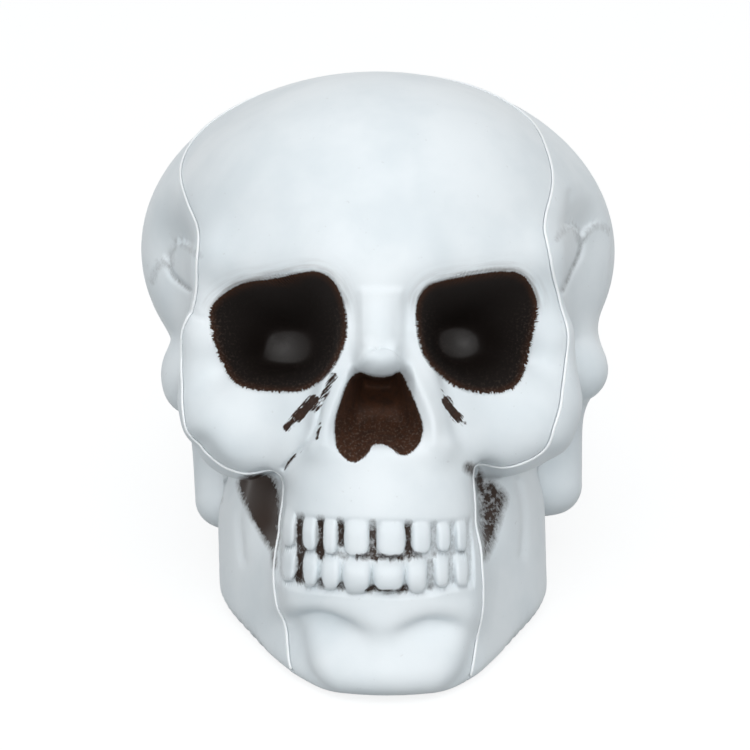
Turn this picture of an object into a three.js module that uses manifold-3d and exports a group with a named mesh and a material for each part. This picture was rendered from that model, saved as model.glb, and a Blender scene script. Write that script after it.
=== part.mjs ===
// Halloween skull decoration: a life-size hollow skull of three thin plastic mouldings and their cement seams.
// Millimetres. In the head frame x runs to the skull's own left, y to the back and z up, with the face level.
// The finished group is tilted back, so that the chin, the jaw and the occiput stand on z = 0.
import * as THREE from 'three';
import { mergeVertices } from 'three/addons/utils/BufferGeometryUtils.js';
import Module from 'manifold-3d';

// Walls, seams and fits
const WALL = 2.2;
const SEAM_GAP = 0.3;
const LIP_REACH = 4;
const LIP_WALL = 1.4;
const LIP_CLEARANCE = 0.3;
const LIP_ROOT = 3;
const LIP_RAMP = 2;
const LIP_STOP = 9;
const LIP_RUN_OUT = 7;
const LIP_LOWEST = 36;
const RIM_MARGIN = 2.2;
const SEAM_CHAMFER = 0.65;
const BEAD_CLEARANCE = 0.3;
const BEAD_SHOULDER = 0.2;
const BEAD_PROUD = 0.5;
const BEAD_CROWN_SHARE = 0.6;
const BEAD_END_GAP = 0.4;
const BEAD_FLOOR_GAP = 3;

// How the skull stands: tilted back until its underside is level
const REST_TILT = THREE.MathUtils.degToRad(19.5);
const CHIN_REST = { y: -72, z: -93 };
const FLOOR_EDGE = 5;

// Middle of the hollow, from which every wall thickness is measured
const HOLLOW_MIDDLE = new THREE.Vector3(0, 12, 6);
const SEARCH_RADIUS = 150;
const SEARCH_STEP_COUNT = 80;
const SEARCH_SHARE = 0.85;
const SEARCH_ERROR = 1e-4;
const LEAST_SLOPE = 1e-6;

// The sculpt leans a little to one side, more below than above. The braincase, and more so the bones
// at its sides, are off to the left, and the side bones are lower on the right.
const LEAN = 0.0175;
const LEAN_BEND = 0.00008;
const BRAINCASE_SHIFT = 0.4;
const SIDE_BONE_SHIFT = 2.5;
const SIDE_BONE_DROP = 0.04;

// Main sizes
const BRAINCASE_WIDTH = 152.4;
const BRAINCASE_LENGTH = 168;
const BRAINCASE_HEIGHT = 115;

// Bones. An egg has a middle and three half sizes, a bar two ends and two radii, and blend rounds the join.
const BRAINCASE = {
  at: [0, 8, 40],
  half: [BRAINCASE_WIDTH / 2, BRAINCASE_LENGTH / 2, BRAINCASE_HEIGHT / 2],
};
const FOREHEAD = { at: [0, -36, 40], half: [58, 50, 50], blend: 14 };
const OCCIPUT = { at: [0, 46, 10], half: [58, 44, 50], blend: 18 };
const SKULL_BASE = { at: [0, 14, -22], half: [52, 46, 56], blend: 14 };
const TEMPLE_HOLLOW = { at: [84, -48, 32], half: [26, 38, 34], blend: 8 };
const TEMPLE_ROOT = { from: [60.5, -14, -1], to: [61.5, 22, 1], radii: [9.5, 9.5], blend: 12 };
const MASTOID = { from: [52, 17, -6], to: [53.2, 11, -38], radii: [12, 9.5], blend: 10 };
const MIDFACE = { at: [0, -50, -12], half: [46, 34, 34], blend: 8 };
const BROW = { from: [13, -78, 34], to: [44, -65, 35], radii: [9, 7], blend: 8 };
const GLABELLA = { at: [0, -77, 31], half: [18, 11, 11], blend: 8 };
const NOSE_BRIDGE = { from: [0, -80, 24], to: [0, -87.5, 4], radii: [8, 6.5], blend: 5 };
const ORBIT_RIM = { from: [47, -60, 36], to: [50, -58, 12], radii: [7, 6.5], blend: 6 };
const CHEEK_STEM = { from: [51.5, -56, 12], to: [52, -53, -6], radii: [7.5, 9], blend: 6 };
const CHEEKBONE = { at: [41.5, -56, -13], half: [18.5, 17, 18], blend: 8 };
const CHEEK_ARCH = { from: [49, -46, -7], to: [60, -10, 2], radii: [6, 7], blend: 6 };
const NOSE_SIDE = { from: [10, -82, 12], to: [16, -82, -20], radii: [5, 5], blend: 5 };
const UPPER_JAW = { y: -60, half: [31, 31], bottom: -62, top: -20, edge: 6 };
const LOWER_JAW = { y: -59, half: [32, 29], bottom: -94, top: -56, edge: 8 };
const CHIN_TAPER = { halfWidth: 31, from: -70, rate: 0.45, edge: 7 };
const CHIN = { at: [0, -76, -80], half: [18, 11, 11], blend: 8 };
const BITE_BLEND = 3;
const JAW_BLEND = 6;
const JAW_SIDE = {
  front: [29, -66], rear: [53, -18], halfWidth: 53, back: [53, -6], top: 2, edge: 8, blend: 4,
};
const JAW_SIDE_NOSE = { y: -76, z: -93, slope: 0.35 };
const JAW_SIDE_LIFT = -1;

// Relief, drawn as it is seen from a point this far in front, in millimetres on the plane y = 0
const VIEW_DISTANCE = 1000;
const RELIEF_REACH = 1.3;
const SOCKET = { depth: 20, wall: 11, lip: 1.2, dishDepth: 4, dishRadius: 10, dishEdge: 1.4 };
const RIGHT_SOCKET = [
  [-53, 22.4], [-44.4, 28.8], [-32.9, 30.8], [-20.4, 33], [-13.6, 28.5], [-10.4, 17],
  [-12.7, 6.1], [-19.1, -2.2], [-28.4, -5.4], [-44.4, -3.2], [-50.2, 4.8], [-53.4, 14.4],
];
const LEFT_SOCKET = [
  [12.3, 20.2], [15.5, 27.9], [24.5, 30.8], [38.9, 33], [46.6, 31.4], [50.8, 22.4],
  [48.9, 11.2], [45, -2.2], [35.7, -5.8], [24.5, -3.2], [14.9, 6.1],
];
const SOCKET_DISHES = [[-31.9, 12.8], [30.6, 13.1]];
const NOSE = { depth: 15, wall: 4.5, lip: 0.6 };
const NOSE_OUTLINE = [
  [-8.5, -3.5], [-4.3, -0.6], [1.4, -1.3], [7.5, -0.3], [11.1, -6.1], [14.6, -17.6], [13.3, -24.7],
  [8.2, -27.2], [4, -23.7], [0.5, -22.1], [-3.4, -24], [-8.8, -26.9], [-12.3, -24], [-13.3, -16],
  [-11.1, -8.7],
];
const NASAL_BONES = { halfWidth: 7.4, top: 28.4, bottom: 4, side: 2.5, crest: 1.2, fade: 5, proud: 1.6 };
const NOSE_RIDGE = { proud: 1.6, width: 2.2 };
const NOSE_RIDGES = [
  [[-8.5, 4.2], [-13.3, -6.4], [-16.5, -20.8]],
  [[9.8, 4.2], [14.9, -6.4], [19.1, -20.8]],
];
const POCKET = { depth: 7, width: 4.3 };
const POCKETS = [
  [[-37.3, -36.2], [-36.1, -51.3]],
  [[35.1, -33], [34.5, -49.7]],
];
const RIGHT_CHIN_HOLLOW = { at: [-12.3, -79.2], half: [13, 5], depth: 2.6 };
const LEFT_CHIN_HOLLOW = { at: [19.7, -76.9], half: [7, 4.5], depth: 2 };

// Teeth: the edges of each tooth from right to left, and the arched lines that bound the two rows
const TOOTH = {
  proud: 1.7, sink: 1, square: 0.65, mostStretch: 1.7, columnCount: 8, rowCount: 6, sameCorner: 1e-3,
};
const UPPER_TEETH = [
  [-30.4, -25.5], [-24.2, -19.4], [-17.8, -12.7], [-11.4, -2.7], [-1.4, 8.5], [10.4, 16.8], [18.4, 23.2],
  [24.2, 27.4], [28, 30.6],
];
const LOWER_TEETH = [
  [-30.4, -25.5], [-24.2, -18.8], [-18, -11.7], [-11, -2.4], [-1.6, 8.2], [9, 15.9], [17.5, 22.6],
  [23.9, 27.4], [28, 30.6],
];
const TOOTH_ROW_HALF = 31;
const GUM_LINE = { corner: -42, drop: 4 };
const BITE_LINE = { corner: -54.5, drop: 3.6, gap: 0.5 };
const CHIN_LINE = { corner: -65, drop: 5 };

// The face seam, in degrees: angle round the nose bridge, from straight down to straight up, and angle
// away from it
const SEAM_TOP = 92;
const SEAM_UNDER = 54.5;
const LEFT_SEAM = [
  [-90, SEAM_UNDER], [-84, 54], [-78, 52.3], [-72.8, 49.3], [-67.5, 44], [-63.7, 39.5], [-55, 33], [-49, 31.6],
  [-42, 33], [-31, 36], [-19.7, 36.2], [-4.5, 38], [10.8, 36.6], [25, 35.2], [34.6, 37.5], [43.4, 46.5],
  [49, 52.5], [58, 66.7], [74, 82], [90, SEAM_TOP],
];
const RIGHT_SEAM = [
  [-90, SEAM_UNDER], [-84, 54], [-77, 52], [-70.7, 48.6], [-61.9, 41.3], [-53, 33], [-48.2, 31],
  [-39.8, 34.5], [-30.2, 38.5], [-20.4, 40], [-3.2, 40.5], [5.4, 40], [14.7, 38], [28, 38.5], [36.8, 43.5],
  [46.3, 62], [60, 79], [75, 88], [90, SEAM_TOP],
];

// Fineness of the grids
const SEAM_COUNT = 80;
const MIDLINE_COUNT = 20;
const FACE_ROW_COUNT = 24;
const FACE_INNER_ROW_COUNT = 12;
const CRANIUM_ROW_COUNT = 12;
const RIM_STEP_COUNT = 4;
const OUTLINE_COUNT = 8;
const OUTLINE_TENSION = 0.5;
const SLOPE_STEP = 1.2;
const SEAM_TURN = 0.02;
const MOST_SLANT = 2.5;
const LEAST_SQUARE = 0.4;
const LEAST_SPREAD = 0.1;
const SIGHT_STEP_COUNT = 200;
const SIGHT_SHARE = 0.5;
const FACING_STEP = 0.01;

// Finishes
const SHELL_COLOUR = 0xe2eaef;
const BEAD_COLOUR = 0xf1f6f9;
const SHELL_ROUGHNESS = 0.45;

const { clamp, degToRad, lerp, smoothstep } = THREE.MathUtils;

// Smooth union, cut and overlap of two signed distances; k is the width that the join rounds over.
function join(a, b, k) {
  const h = Math.max(k - Math.abs(a - b), 0) / k;
  return Math.min(a, b) - (h * h * k) / 4;
}
const overlap = (a, b, k) => -join(-a, -b, k);
const cut = (a, b, k) => overlap(a, -b, k);

// Signed distance to an egg: close to exact near its surface.
function eggDistance(p, { at, half }) {
  const [x, y, z] = p.map((value, i) => (value - at[i]) / half[i]);
  const reach = Math.hypot(x, y, z);
  const slope = Math.hypot(x / half[0], y / half[1], z / half[2]);
  return (reach * (reach - 1)) / Math.max(slope, LEAST_SLOPE);
}

// Signed distance to a bar with round ends whose radius changes evenly along it.
function barDistance(p, { from, to, radii }) {
  const along = to.map((value, i) => value - from[i]);
  const start = p.map((value, i) => value - from[i]);
  const dot = along.reduce((sum, value, i) => sum + value * start[i], 0);
  const share = clamp(dot / along.reduce((sum, value) => sum + value * value, 0), 0, 1);
  const [x, y, z] = start.map((value, i) => value - along[i] * share);
  return Math.hypot(x, y, z) - lerp(radii[0], radii[1], share);
}

// Signed distance to an upright block of oval plan.
function jawBlockDistance([x, y, z], { y: middle, half, bottom, top, edge }) {
  const u = x / half[0];
  const v = (y - middle) / half[1];
  const reach = Math.hypot(u, v);
  const slope = Math.hypot(u / half[0], v / half[1]);
  const side = (reach * (reach - 1)) / Math.max(slope, LEAST_SLOPE);
  return overlap(side, Math.max(bottom - z, z - top), edge);
}

const FLOOR_SLOPE = Math.tan(REST_TILT);
const floorHeight = (y) => CHIN_REST.z + FLOOR_SLOPE * (y - CHIN_REST.y);

// Signed distance to the flat sides of the lower jaw, from beside the teeth to the jaw angles.
function jawSideDistance([x, y, z]) {
  const { front, rear, halfWidth, back, top, edge } = JAW_SIDE;
  const length = Math.hypot(rear[0] - front[0], rear[1] - front[1]);
  const normal = [(rear[1] - front[1]) / length, (front[0] - rear[0]) / length];
  let distance = normal[0] * (x - front[0]) + normal[1] * (y - front[1]);
  const backRamp = (x - back[0] + y - back[1]) * Math.SQRT1_2;
  const { y: noseY, z: noseZ, slope } = JAW_SIDE_NOSE;
  const nose = (noseY - y + slope * (z - noseZ)) / Math.hypot(1, slope);
  const limits = [x - halfWidth, backRamp, nose, z - top, floorHeight(y) + JAW_SIDE_LIFT - z];
  for (const limit of limits) distance = overlap(distance, limit, edge);
  return distance;
}

// Signed distance to the whole skull without its relief.
function skullDistance(x, y, z) {
  const upright = x + LEAN * z - LEAN_BEND * z * z;
  const rear = [Math.abs(upright - BRAINCASE_SHIFT), y, z];
  let skull = eggDistance(rear, BRAINCASE);
  for (const egg of [FOREHEAD, OCCIPUT, SKULL_BASE]) skull = join(skull, eggDistance(rear, egg), egg.blend);
  skull = cut(skull, eggDistance(rear, TEMPLE_HOLLOW), TEMPLE_HOLLOW.blend);
  const side = [Math.abs(upright - SIDE_BONE_SHIFT), y, z - SIDE_BONE_DROP * x];
  for (const bar of [TEMPLE_ROOT, MASTOID]) skull = join(skull, barDistance(side, bar), bar.blend);

  const p = [Math.abs(upright), y, z];
  let face = eggDistance(p, MIDFACE);
  for (const egg of [GLABELLA, CHEEKBONE]) face = join(face, eggDistance(p, egg), egg.blend);
  for (const bar of [BROW, NOSE_BRIDGE, ORBIT_RIM, CHEEK_STEM, CHEEK_ARCH, NOSE_SIDE]) {
    face = join(face, barDistance(p, bar), bar.blend);
  }
  skull = join(skull, face, MIDFACE.blend);

  const taper = p[0] - CHIN_TAPER.halfWidth + CHIN_TAPER.rate * (CHIN_TAPER.from - z);
  const taperSlope = Math.hypot(1, CHIN_TAPER.rate);
  let lowerJaw = overlap(jawBlockDistance(p, LOWER_JAW), taper / taperSlope, CHIN_TAPER.edge);
  lowerJaw = join(lowerJaw, eggDistance(p, CHIN), CHIN.blend);
  const jaws = join(jawBlockDistance(p, UPPER_JAW), lowerJaw, BITE_BLEND);
  skull = join(skull, jaws, JAW_BLEND);
  return join(skull, jawSideDistance(p), JAW_SIDE.blend);
}

// A smooth curve through hand-set points, as short straight pieces.
function curvePoints(points, closed) {
  const places = points.map(([u, v]) => new THREE.Vector3(u, v, 0));
  const curve = new THREE.CatmullRomCurve3(places, closed, 'catmullrom', OUTLINE_TENSION);
  return curve.getPoints(points.length * OUTLINE_COUNT).map(({ x, y }) => [x, y]);
}

// Least distance from a point to a chain of straight pieces.
function lineDistance(u, v, line) {
  let least = Infinity;
  for (let i = 1; i < line.length; i += 1) {
    const [u0, v0] = line[i - 1];
    const [du, dv] = [line[i][0] - u0, line[i][1] - v0];
    const share = clamp(((u - u0) * du + (v - v0) * dv) / (du * du + dv * dv), 0, 1);
    least = Math.min(least, Math.hypot(u - u0 - du * share, v - v0 - dv * share));
  }
  return least;
}

// The same distance for a closed outline, negative inside it.
function outlineDistance(u, v, line) {
  let inside = false;
  for (let i = 1; i < line.length; i += 1) {
    const [[u0, v0], [u1, v1]] = [line[i - 1], line[i]];
    if (v0 > v !== v1 > v && u < ((u1 - u0) * (v - v0)) / (v1 - v0) + u0) inside = !inside;
  }
  return lineDistance(u, v, line) * (inside ? -1 : 1);
}

const ease = (share) => smoothstep(share, 0, 1);
const softLine = (distance, width) => Math.exp(-((distance / width) ** 2));
const socketLines = [RIGHT_SOCKET, LEFT_SOCKET].map((outline) => curvePoints(outline, true));
const noseLine = curvePoints(NOSE_OUTLINE, true);
const noseRidgeLines = NOSE_RIDGES.map((ridge) => curvePoints(ridge, false));

// Depth of a cup with a rounded wall, at a signed distance from its outline.
function cupDepth(distance, { depth, wall, lip }) {
  const share = clamp((lip - distance) / wall, 0, 1);
  return depth * (1 - (1 - share) ** 2);
}

// Height of the sockets, nose, ridges and hollows over the plain bones.
function reliefHeight(u, v) {
  let height = 0;
  for (const line of socketLines) height -= cupDepth(outlineDistance(u, v, line), SOCKET);
  for (const [du, dv] of SOCKET_DISHES) {
    height -= SOCKET.dishDepth * ease(SOCKET.dishEdge - Math.hypot(u - du, v - dv) / SOCKET.dishRadius);
  }
  height -= cupDepth(outlineDistance(u, v, noseLine), NOSE);
  const { halfWidth, top, bottom, side, crest, fade, proud } = NASAL_BONES;
  const block = ease((halfWidth - Math.abs(u)) / side) * ease((top - v) / crest);
  height += proud * block * ease((v - bottom) / fade);
  for (const line of noseRidgeLines) {
    height += NOSE_RIDGE.proud * softLine(lineDistance(u, v, line), NOSE_RIDGE.width);
  }
  for (const line of POCKETS) height -= POCKET.depth * softLine(lineDistance(u, v, line), POCKET.width);
  for (const { at, half, depth } of [RIGHT_CHIN_HOLLOW, LEFT_CHIN_HOLLOW]) {
    height -= depth * softLine(Math.hypot((u - at[0]) / half[0], (v - at[1]) / half[1]), 1);
  }
  return height;
}

// Distance from the hollow's middle to the plane that the skull stands on.
function floorRadius(direction) {
  const rate = direction.z - FLOOR_SLOPE * direction.y;
  const drop = floorHeight(HOLLOW_MIDDLE.y) - HOLLOW_MIDDLE.z;
  return rate < 0 ? drop / rate : Infinity;
}

// Distance from the hollow's middle to the outer surface.
function outerRadius(direction) {
  let radius = SEARCH_RADIUS;
  const point = new THREE.Vector3();
  for (let step = 0; step < SEARCH_STEP_COUNT; step += 1) {
    point.copy(HOLLOW_MIDDLE).addScaledVector(direction, radius);
    const distance = skullDistance(point.x, point.y, point.z);
    radius -= SEARCH_SHARE * distance;
    if (Math.abs(distance) < SEARCH_ERROR) break;
  }
  point.copy(HOLLOW_MIDDLE).addScaledVector(direction, radius);
  if (-direction.y > Math.cos(RELIEF_REACH)) {
    const scale = VIEW_DISTANCE / (VIEW_DISTANCE + point.y);
    radius += reliefHeight(point.x * scale, point.z * scale);
  }
  const floor = floorRadius(direction);
  return floor < SEARCH_RADIUS ? join(radius, floor, FLOOR_EDGE) : radius;
}

// A smooth curve through knots of place and value, with the slope at each knot taken from its neighbours.
function knotCurve(knots, place) {
  const slope = (i) => {
    const [a, b] = [knots[Math.max(i - 1, 0)], knots[Math.min(i + 1, knots.length - 1)]];
    return (b[1] - a[1]) / (b[0] - a[0]);
  };
  const i = clamp(knots.findIndex(([at]) => at >= place) - 1, 0, knots.length - 2);
  const [[x0, y0], [x1, y1]] = [knots[i], knots[i + 1]];
  const width = x1 - x0;
  const t = (place - x0) / width;
  const rise = (t ** 3 - 2 * t ** 2 + t) * width * slope(i) + (t ** 3 - t ** 2) * width * slope(i + 1);
  return lerp(y0, y1, 3 * t ** 2 - 2 * t ** 3) + rise;
}

// A direction by its angle away from the nose bridge and its angle round it.
function headDirection(away, round) {
  return new THREE.Vector3(Math.sin(away) * Math.cos(round), -Math.cos(away), Math.sin(away) * Math.sin(round));
}

// The seam's angle away from the nose bridge.
function seamAway(round) {
  const lift = THREE.MathUtils.radToDeg(Math.asin(clamp(Math.sin(round), -1, 1)));
  return degToRad(knotCurve(Math.cos(round) >= 0 ? LEFT_SEAM : RIGHT_SEAM, lift));
}

// A place on the seam round the face: its direction, the way along it and the way towards the back of the head.
function seamPlace(round) {
  const edge = headDirection(seamAway(round), round);
  const near = (turn) => surfacePoint(headDirection(seamAway(round + turn), round + turn));
  const along = near(SEAM_TURN).sub(near(-SEAM_TURN)).normalize();
  return { edge, along, backward: headDirection(seamAway(round) + Math.PI / 2, round) };
}

// A place on the midline seam, which runs from the top of the face seam over the back to its foot.
function midlinePlace(share) {
  const away = lerp(degToRad(SEAM_TOP), 2 * Math.PI - degToRad(SEAM_UNDER), share);
  return { edge: headDirection(away, Math.PI / 2), along: headDirection(away + Math.PI / 2, Math.PI / 2) };
}

// The point of the outer surface in a direction.
function surfacePoint(direction) {
  return HOLLOW_MIDDLE.clone().addScaledVector(direction, outerRadius(direction));
}

// The way that the outer surface faces in a direction, from four points round it.
function surfaceNormal(direction) {
  const side = new THREE.Vector3(0, 0, 1).cross(direction).normalize();
  const across = direction.clone().cross(side);
  const step = SLOPE_STEP / HOLLOW_MIDDLE.distanceTo(surfacePoint(direction));
  const near = (axis, turn) => surfacePoint(direction.clone().addScaledVector(axis, turn).normalize());
  const along = near(side, step).sub(near(side, -step));
  return along.cross(near(across, step).sub(near(across, -step))).normalize();
}

// A place on a seam, with the scale that makes its offsets true distances from the seam along the surface.
function seamColumn(place) {
  const reach = outerRadius(place.edge);
  const near = (offset) => surfacePoint(seamDirection({ ...place, scale: reach }, offset));
  const across = near(SLOPE_STEP).sub(near(-SLOPE_STEP)).divideScalar(2 * SLOPE_STEP);
  const square = Math.max(across.clone().projectOnPlane(place.along).length(), LEAST_SQUARE);
  return { ...place, scale: reach * square, normal: surfaceNormal(place.edge) };
}

// The direction at an offset from a seam, measured along the surface.
function seamDirection({ edge, inward, scale }, offset) {
  return edge.clone().multiplyScalar(scale).addScaledVector(inward, offset).normalize();
}

// The point at an offset from a seam and at a height over the surface, but not under the floor.
// Within the groove all heights run the same way, so that the faces of the gap stay parallel.
function seamPoint(column, offset, height) {
  const direction = seamDirection(column, offset);
  const normal = Math.abs(offset) > groove ? surfaceNormal(direction) : column.normal;
  const point = surfacePoint(direction).addScaledVector(normal, height);
  point.z = Math.max(point.z, floorHeight(point.y));
  return point;
}

// Sections of a moulding's rim, as pairs of offset into the moulding and depth under its surface.
// The chamfer makes half of the bead's groove. The plain rim lies over its neighbour's lip.
const halfGap = SEAM_GAP / 2;
const groove = halfGap + SEAM_CHAMFER;
const rimReach = LIP_REACH + RIM_MARGIN;
const outerRim = [[rimReach, 0], [groove, 0], [halfGap, SEAM_CHAMFER], [halfGap, WALL]];
const faceRim = [...outerRim, [LIP_REACH / 2, WALL], [LIP_REACH, WALL], [rimReach, WALL]];
const plainRim = [
  ...outerRim, [LIP_REACH / 2, WALL], [LIP_REACH, WALL],
  ...Array.from({ length: RIM_STEP_COUNT }, (_, k) => {
    return [LIP_REACH + (RIM_MARGIN * (k + 1)) / RIM_STEP_COUNT, WALL];
  }),
];
const lipTop = WALL + LIP_CLEARANCE;
const lipRim = [
  [LIP_ROOT + LIP_RAMP, 0], [groove, 0], [halfGap, SEAM_CHAMFER], [halfGap, lipTop], [-halfGap, lipTop],
  [-LIP_REACH / 2, lipTop], [-LIP_REACH, lipTop], [-LIP_REACH, lipTop + LIP_WALL],
  [LIP_ROOT, lipTop + LIP_WALL], [LIP_ROOT + LIP_RAMP, WALL],
];

// The rim at a distance from the nearest corner of three mouldings, where the offsets shrink.
function rimSection(cornerDistance, lipShare) {
  const spread = clamp(cornerDistance / (2 * rimReach), LEAST_SPREAD, 1);
  return plainRim.map(([offset, depth], i) => {
    const drawnIn = offset > groove ? lerp(groove, offset, spread) : offset;
    return [lerp(drawnIn, lipRim[i][0], lipShare), lerp(depth, lipRim[i][1], lipShare)];
  });
}

// A closed triangle mesh from rings of points, each joined to the next, with a point at both ends.
// The first rings are joined along their cells' shorter diagonals, and the rest all the same way.
function ringMesh(rings, firstPole, lastPole, freeRings) {
  const count = rings[0].length;
  const points = [...rings.flat(), firstPole, lastPole];
  const first = rings.length * count;
  const triangles = [];
  for (let k = 0; k < count; k += 1) {
    const next = (k + 1) % count;
    triangles.push(first, k, next);
    for (let row = 0; row + 1 < rings.length; row += 1) {
      const [here, there] = [row * count, (row + 1) * count];
      const [a, b, c, d] = [here + k, there + k, there + next, here + next];
      const crossed = row < freeRings && points[b].distanceTo(points[d]) < points[a].distanceTo(points[c]);
      triangles.push(...(crossed ? [a, b, d, b, c, d] : [a, b, c, a, c, d]));
    }
    triangles.push(first + 1, first - count + next, first - count + k);
  }
  return solidGeometry(points, triangles);
}

// A geometry with its faces turned outwards.
function solidGeometry(points, triangles) {
  const corner = (i) => points[triangles[i]];
  let volume = 0;
  for (let i = 0; i < triangles.length; i += 3) {
    volume += corner(i).dot(corner(i + 1).clone().cross(corner(i + 2)));
  }
  const index = volume > 0 ? triangles : triangles.toReversed();
  const geometry = new THREE.BufferGeometry().setFromPoints(points);
  geometry.setIndex(index);
  return geometry;
}

// A thin bowl from a middle direction to its rim: outer surface, rim section and inner surface.
// The inner surface has every row of the outer one or fewer, and keeps a wall under the rows that it skips.
function bowlGeometry(middle, rim, rowCount, innerRowCount) {
  const stride = rowCount / innerRowCount;
  const columns = rim.map(seamColumn);
  const starts = columns.map((column) => seamDirection(column, column.section[0][0]));
  const directions = Array.from({ length: rowCount + 1 }, (_, row) => {
    return starts.map((start) => greatCircle(middle, start, row / rowCount));
  });
  const radii = directions.map((ring) => ring.map(outerRadius));
  const place = (row, k, radius) => HOLLOW_MIDDLE.clone().addScaledVector(directions[row][k], radius);
  const innerRadius = (row, k) => {
    const near = radii.slice(Math.max(row - stride + 1, 0), row + stride).map((ring) => ring[k]);
    const slant = 1 / surfaceNormal(directions[row][k]).dot(directions[row][k]);
    return Math.min(...near) - WALL * Math.min(slant, MOST_SLANT);
  };
  const outer = radii.slice(1).map((ring, row) => ring.map((radius, k) => place(row + 1, k, radius)));
  const section = columns[0].section.slice(1).map((_, i) => {
    return columns.map((column) => seamPoint(column, column.section[i + 1][0], -column.section[i + 1][1]));
  });
  const inner = [];
  for (let row = rowCount - stride; row > 0; row -= stride) {
    inner.push(starts.map((_, k) => place(row, k, innerRadius(row, k))));
  }
  const innerMiddle = Math.min(...starts.map((_, k) => innerRadius(0, k)));
  const rings = [...outer, ...section, ...inner];
  return ringMesh(rings, place(0, 0, radii[0][0]), place(0, 0, innerMiddle), rowCount - 1);
}

// The direction at a share of the great circle from one direction to another.
function greatCircle(from, to, share) {
  const angle = from.angleTo(to);
  const mixed = from.clone().multiplyScalar(Math.sin((1 - share) * angle));
  return mixed.addScaledVector(to, Math.sin(share * angle)).normalize();
}

// The bead that fills a groove: a V below, a flat crown above.
function beadSection() {
  const foot = groove - BEAD_CLEARANCE * Math.SQRT2;
  const shoulder = foot + BEAD_SHOULDER;
  const crown = shoulder * BEAD_CROWN_SHARE;
  return [
    [-shoulder, BEAD_SHOULDER], [0, -foot], [shoulder, BEAD_SHOULDER], [crown, BEAD_PROUD], [-crown, BEAD_PROUD],
  ];
}
const beadRing = (column) => beadSection().map(([offset, height]) => seamPoint(column, offset, height));

const seamPlaces = Array.from({ length: SEAM_COUNT }, (_, k) => {
  return seamPlace(-Math.PI / 2 + (2 * Math.PI * k) / SEAM_COUNT);
});
const HEAD_RADIUS = outerRadius(seamPlaces[SEAM_COUNT / 2].edge);
const midlineTurn = 2 * Math.PI - degToRad(SEAM_TOP + SEAM_UNDER);
const midlineStop = (groove + BEAD_SHOULDER + BEAD_END_GAP) / HEAD_RADIUS / midlineTurn;
const midlinePlaces = Array.from({ length: MIDLINE_COUNT + 1 }, (_, k) => {
  return midlinePlace(clamp(k / MIDLINE_COUNT, midlineStop, 1 - midlineStop));
});

// Front moulding: forehead, sockets, nose, cheeks, jaws and chin, without the teeth.
function faceBowl() {
  const rim = seamPlaces.map(({ edge, along, backward }) => {
    return { edge, along, inward: backward.clone().negate(), section: faceRim };
  });
  return bowlGeometry(new THREE.Vector3(0, -1, 0), rim, FACE_ROW_COUNT, FACE_INNER_ROW_COUNT);
}

// Rear moulding of one side. Its lip goes behind the face, and on the left side behind the right moulding too.
function craniumShell(side, lipOnMidline) {
  const outward = new THREE.Vector3(side, 0, 0);
  const half = SEAM_COUNT / 2;
  const first = side > 0 ? 0 : half;
  const seam = Array.from({ length: half + 1 }, (_, k) => seamPlaces[(first + k) % SEAM_COUNT]);
  const corners = [seam[0].edge, seam[half].edge];
  const distance = (edge) => Math.min(...corners.map((corner) => corner.angleTo(edge))) * HEAD_RADIUS;
  const lipShare = (edge) => smoothstep(distance(edge), LIP_STOP, LIP_STOP + LIP_RUN_OUT);
  const rim = seam.map(({ edge, along, backward }, k) => {
    const inward = k % half === 0 ? backward.clone().add(outward) : backward;
    const aboveBrow = smoothstep(surfacePoint(edge).z, LIP_LOWEST, LIP_LOWEST + LIP_RUN_OUT);
    return { edge, along, inward, section: rimSection(distance(edge), lipShare(edge) * aboveBrow) };
  });
  for (const place of side > 0 ? midlinePlaces : midlinePlaces.toReversed()) {
    const section = rimSection(distance(place.edge), lipOnMidline ? lipShare(place.edge) : 0);
    rim.push({ ...place, inward: outward, section });
  }
  return bowlGeometry(outward, rim, CRANIUM_ROW_COUNT, CRANIUM_ROW_COUNT);
}

// A bead along a seam, over the places that are clear of the floor, where the underside is flat.
function seamBead(places) {
  const clear = places.filter(({ edge }) => {
    const point = surfacePoint(edge);
    return point.z - floorHeight(point.y) > BEAD_FLOOR_GAP;
  });
  const rings = clear.map((place) => beadRing(seamColumn(place)));
  const total = (ring) => ring.reduce((sum, point) => sum.add(point), new THREE.Vector3());
  const [first, last] = [rings[0], rings.at(-1)].map((ring) => total(ring).divideScalar(ring.length));
  return ringMesh(rings, first, last, 0);
}
const faceBead = () => seamBead(seamPlaces.map((place) => ({ ...place, inward: place.backward })));
const crownBead = () => {
  const inward = new THREE.Vector3(1, 0, 0);
  return seamBead(midlinePlaces.map((place) => ({ ...place, inward })));
};

// The point of the skull seen at a place of the front plane, and the way that its surface faces there.
function seenPoint(u, v) {
  const eye = new THREE.Vector3(0, -VIEW_DISTANCE, 0);
  const sight = new THREE.Vector3(u, VIEW_DISTANCE, v).normalize();
  let travel = VIEW_DISTANCE - SEARCH_RADIUS;
  const point = new THREE.Vector3();
  for (let step = 0; step < SIGHT_STEP_COUNT; step += 1) {
    point.copy(eye).addScaledVector(sight, travel);
    travel += SIGHT_SHARE * skullDistance(point.x, point.y, point.z);
  }
  const { x, y, z } = point;
  const slope = (dx, dy) => skullDistance(x + dx, y + dy, z) - skullDistance(x, y, z);
  return { point, facing: Math.atan2(slope(FACING_STEP, 0), -slope(0, FACING_STEP)) };
}

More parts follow.
